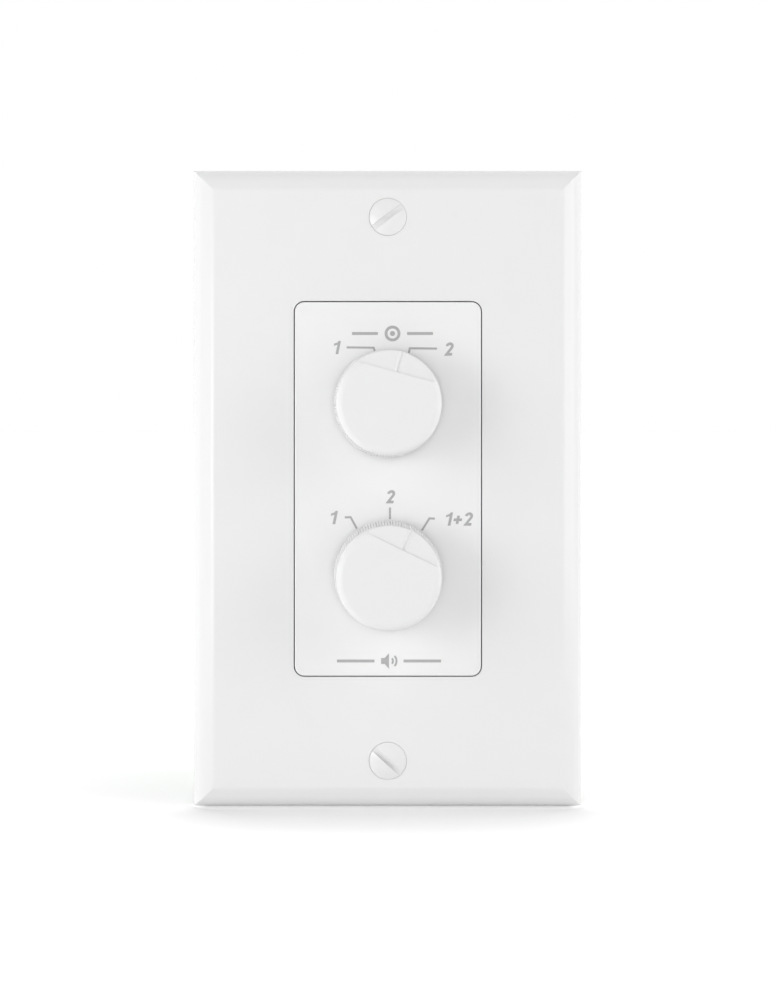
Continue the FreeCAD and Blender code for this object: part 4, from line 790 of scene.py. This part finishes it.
SCREW_PITCH = 0.794 * MM
SCREW_CREST = 1.75 * MM
SCREW_ROOT = 1.36 * MM
THREAD_START = 2.3 * MM
THREAD_OVERLAP = 0.23 * MM
THREAD_STEPS = 8
THREAD_SEGMENTS = 36
TIP_CHAMFER = 0.6 * MM
SAME_PLACE = 0.0001 * MM

# A thread's ridge as shares of the pitch: its width at the root, and both its flanks together.
RIDGE_WIDTH = 0.8
RIDGE_FLANKS = 0.65

# The paint in a slot, lower and flatter towards the slot's ends.
SLOT_HALF = 0.495 * MM
SLOT_FLOOR = 0.25 * MM
PAINT_REACH = 3.24 * MM
PAINT_STEPS = 12
PAINT_DEPTH = 0.26 * MM
PAINT_DROP = 0.12
PAINT_DROP_POWER = 6
PAINT_CLIMB = 0.16 * MM
PAINT_CLIMB_POWER = 4
PAINT_ACROSS = (1.0, 0.75, 0.4, 0.0, -0.4, -0.75, -1.0)

# Each screw's slot: (1 for the upper screw or -1 for the lower, turn in degrees anticlockwise).
SLOTS = [(1, 36.5), (-1, -42.0)]


def add_thread(mesh, z, start, end):
    """A shank with a helical thread about the Y axis at a height of z, with a chamfered tip."""
    rings = []
    steps = math.ceil((end - start) / SCREW_PITCH * THREAD_STEPS)
    for step in range(steps + 1):
        y = start + (end - start) * step / steps
        grown = min(1.0, (y - start) / SCREW_PITCH)
        limit = SCREW_CREST - max(0.0, y - end + TIP_CHAMFER)
        ring = []
        for turn in [index / THREAD_SEGMENTS for index in range(THREAD_SEGMENTS)]:
            phase = ((y - start) / SCREW_PITCH - turn) % 1.0
            ridge = min(1.0, max(0.0, (RIDGE_WIDTH - abs(2 * phase - 1)) / RIDGE_FLANKS))
            radius = min(limit, SCREW_ROOT + (SCREW_CREST - SCREW_ROOT) * ridge * grown)
            x, rise = radius * math.cos(2 * math.pi * turn), radius * math.sin(2 * math.pi * turn)
            ring.append(mesh.verts.new((x, y, z + rise)))
        rings.append(ring)
    join_rings(mesh, rings)


def add_slot_paint(mesh, z, turn):
    """The enamel that has run together in a screw's slot, hollow across and lower at its ends."""
    along = Vector((math.cos(turn), 0, math.sin(turn)))
    across = Vector((-math.sin(turn), 0, math.cos(turn)))
    floor = Vector((0, PLATE_FRONT + SLOT_FLOOR, z))
    rings = []
    for share in [index / PAINT_STEPS - 1 for index in range(2 * PAINT_STEPS + 1)]:
        middle = floor + along * share * PAINT_REACH
        thick = PAINT_DEPTH * (1 - PAINT_DROP * share ** PAINT_DROP_POWER)
        climb = PAINT_CLIMB * (1 - share ** PAINT_CLIMB_POWER)
        section = [(-1.0, 0.0), (1.0, 0.0)]
        section += [(side, thick + climb * side * side) for side in PAINT_ACROSS]
        rings.append([mesh.verts.new(middle + across * side * SLOT_HALF - Vector((0, height, 0)))
                      for side, height in section])
    join_rings(mesh, rings)


def dress_screws():
    """The screws with their thread, which the solids leave plain, and paint in their slots."""
    source = frame["nodes"]["plate_screws"]
    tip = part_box("plate_screws")[1].y
    start = PLATE_FRONT + THREAD_START
    mesh = bmesh.new()
    mesh.from_mesh(source.data)
    bmesh.ops.bisect_plane(mesh, geom=mesh.verts[:] + mesh.edges[:] + mesh.faces[:],
                           plane_co=(0, start, 0), plane_no=(0, 1, 0), clear_outer=True)
    bmesh.ops.remove_doubles(mesh, verts=mesh.verts, dist=SAME_PLACE)
    bmesh.ops.edgeloop_fill(mesh, edges=[edge for edge in mesh.edges if edge.is_boundary])
    heights = [vertex.co.z for vertex in mesh.verts]
    head_radius = max(vertex.co.x for vertex in mesh.verts)
    middle = (max(heights) + min(heights)) / 2
    screw_rise = (max(heights) - min(heights)) / 2 - head_radius
    for end, turn in SLOTS:
        z = middle + end * screw_rise
        add_thread(mesh, z, start - THREAD_OVERLAP, tip)
        add_slot_paint(mesh, z, math.radians(turn))
    screws = object_from("threaded_plate_screws", mesh, MATERIALS["screw_white"])
    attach(screws, "fixed_frame")
    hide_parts("plate_screws")


# ---- stage and light ----

def floor_material():
    """A white floor that keeps real shadows and is shown brighter than it lights things. Its glow
    also paints a contact shadow round the object and paints light into the shadow beside the plate.
    """
    shader = Shader("floor")
    diffuse = shader.node("BsdfDiffuse", {"Color": colour(FLOOR_ALBEDO)}).outputs[0]
    # Painted shade: the glow fades where ambient occlusion finds the floor shut in, which paints a
    # contact shadow round the object, and FOOT_GLOW paints light back into the darkest ring at its
    # foot.
    opening = shader.node("AmbientOcclusion", {"Distance": CONTACT_REACH}, samples=CONTACT_SAMPLES)
    opening = opening.outputs["AO"]
    free = shader.spread(opening, 0.0, 1.0, CONTACT_OPEN, 1.0)
    glow = shader.math("MULTIPLY", shader.math("POWER", free, FLOOR_GLOW_POWER), FLOOR_GLOW)
    glow = shader.math("ADD", glow, shader.spread(opening, FOOT_GLOW, 0.0, 0.0, FOOT_OPEN))
    # Painted light: beside the plate, behind its front, the floor glows more the more it is shut
    # in, which fills its shadow there by where it lies, not by any lamp.
    place = shader.node("NewGeometry").outputs["Position"]
    aside = shader.spread(shader.math("ABSOLUTE", shader.part_of(place, "X")), 0.0, SIDE_GLOW,
                          plate_high.x - SIDE_FADE / 2, plate_high.x + SIDE_FADE / 2)
    behind = shader.spread(shader.part_of(place, "Y"), AHEAD_SHARE, 1.0,
                           PLATE_FRONT + AHEAD_DEPTH, PLATE_FRONT + BEHIND_DEPTH)
    shut = shader.math("POWER", shader.math("SUBTRACT", 1.0, opening), SIDE_GLOW_POWER)
    painted_side_light = shader.math("MULTIPLY", shader.math("MULTIPLY", aside, behind), shut)
    glow = shader.math("ADD", glow, painted_side_light)
    light = shader.node("Emission", {"Color": colour(1.0), "Strength": glow}).outputs[0]
    shown = shader.node("AddShader", {0: diffuse, 1: light}).outputs[0]
    shader.end_with(shader.node("MixShader", {0: shader.seen_directly(), 1: diffuse, 2: shown}))
    return shader.material


def make_stage():
    """A floor under the object, wide enough to reach its own horizon."""
    mesh = bpy.data.meshes.new("floor")
    corners = [(-FLOOR_REACH, -FLOOR_REACH), (FLOOR_REACH, -FLOOR_REACH),
               (FLOOR_REACH, FLOOR_REACH), (-FLOOR_REACH, FLOOR_REACH)]
    mesh.from_pydata([(x, y, FLOOR_Z) for x, y in corners], [], [(0, 1, 2, 3)])
    new_object("floor", mesh, floor_material())


def make_world():
    """White to the eye and in reflections; as a light, soft patches in front and an even back."""
    world = bpy.data.worlds.new("studio")
    bpy.context.scene.world = world
    sky = Nodes(world, "OutputWorld")
    way = sky.node("TexCoord").outputs["Generated"]
    back = {"Value": sky.dot(way, (0, 1, 0)), "From Max": BACK_FULL, "To Max": BACK_SKY}
    level = sky.node("MapRange", back, interpolation_type="SMOOTHSTEP").outputs["Result"]
    for side, lift, strength in SKY:
        along = sky.dot(way, direction(side, lift))
        fall = sky.math("MULTIPLY", sky.math("SUBTRACT", along, 1.0), SKY_FOCUS)
        level = sky.math("ADD", level, sky.math("MULTIPLY", sky.math("EXPONENT", fall), strength))
    light = sky.node("Background", {"Color": colour(1.0), "Strength": level}).outputs[0]
    white = sky.node("Background", {"Color": colour(1.0), "Strength": 1.0}).outputs[0]
    sky.end_with(sky.node("MixShader", {0: sky.seen_directly(), 1: light, 2: white}))


def softbox(name, side, lift, distance, size):
    """A softbox aimed at the plate's middle."""
    data = bpy.data.lights.new(name, "AREA")
    data.shape = "RECTANGLE"
    data.size, data.size_y = size
    data.energy = SOFTBOX_LEVEL * math.pi ** 2 * distance ** 2
    lamp = bpy.data.objects.new(name, data)
    bpy.context.scene.collection.objects.link(lamp)
    way = Vector(direction(side, lift))
    lamp.location = Vector((0, PLATE_FRONT, 0)) + way * distance
    lamp.rotation_mode = "QUATERNION"
    lamp.rotation_quaternion = way.to_track_quat("Z", "Y")


# ---- the whole scene ----

make_camera()
make_world()
for box in SOFTBOXES:
    softbox(*box)
make_stage()
dress_nodes()
print_leaders()
print_source_sign()
print_speaker_sign()
finish_board()
dress_screws()
for number in NUMBERS:
    print_number(*number)

bpy.context.scene.view_settings.view_transform = "Standard"
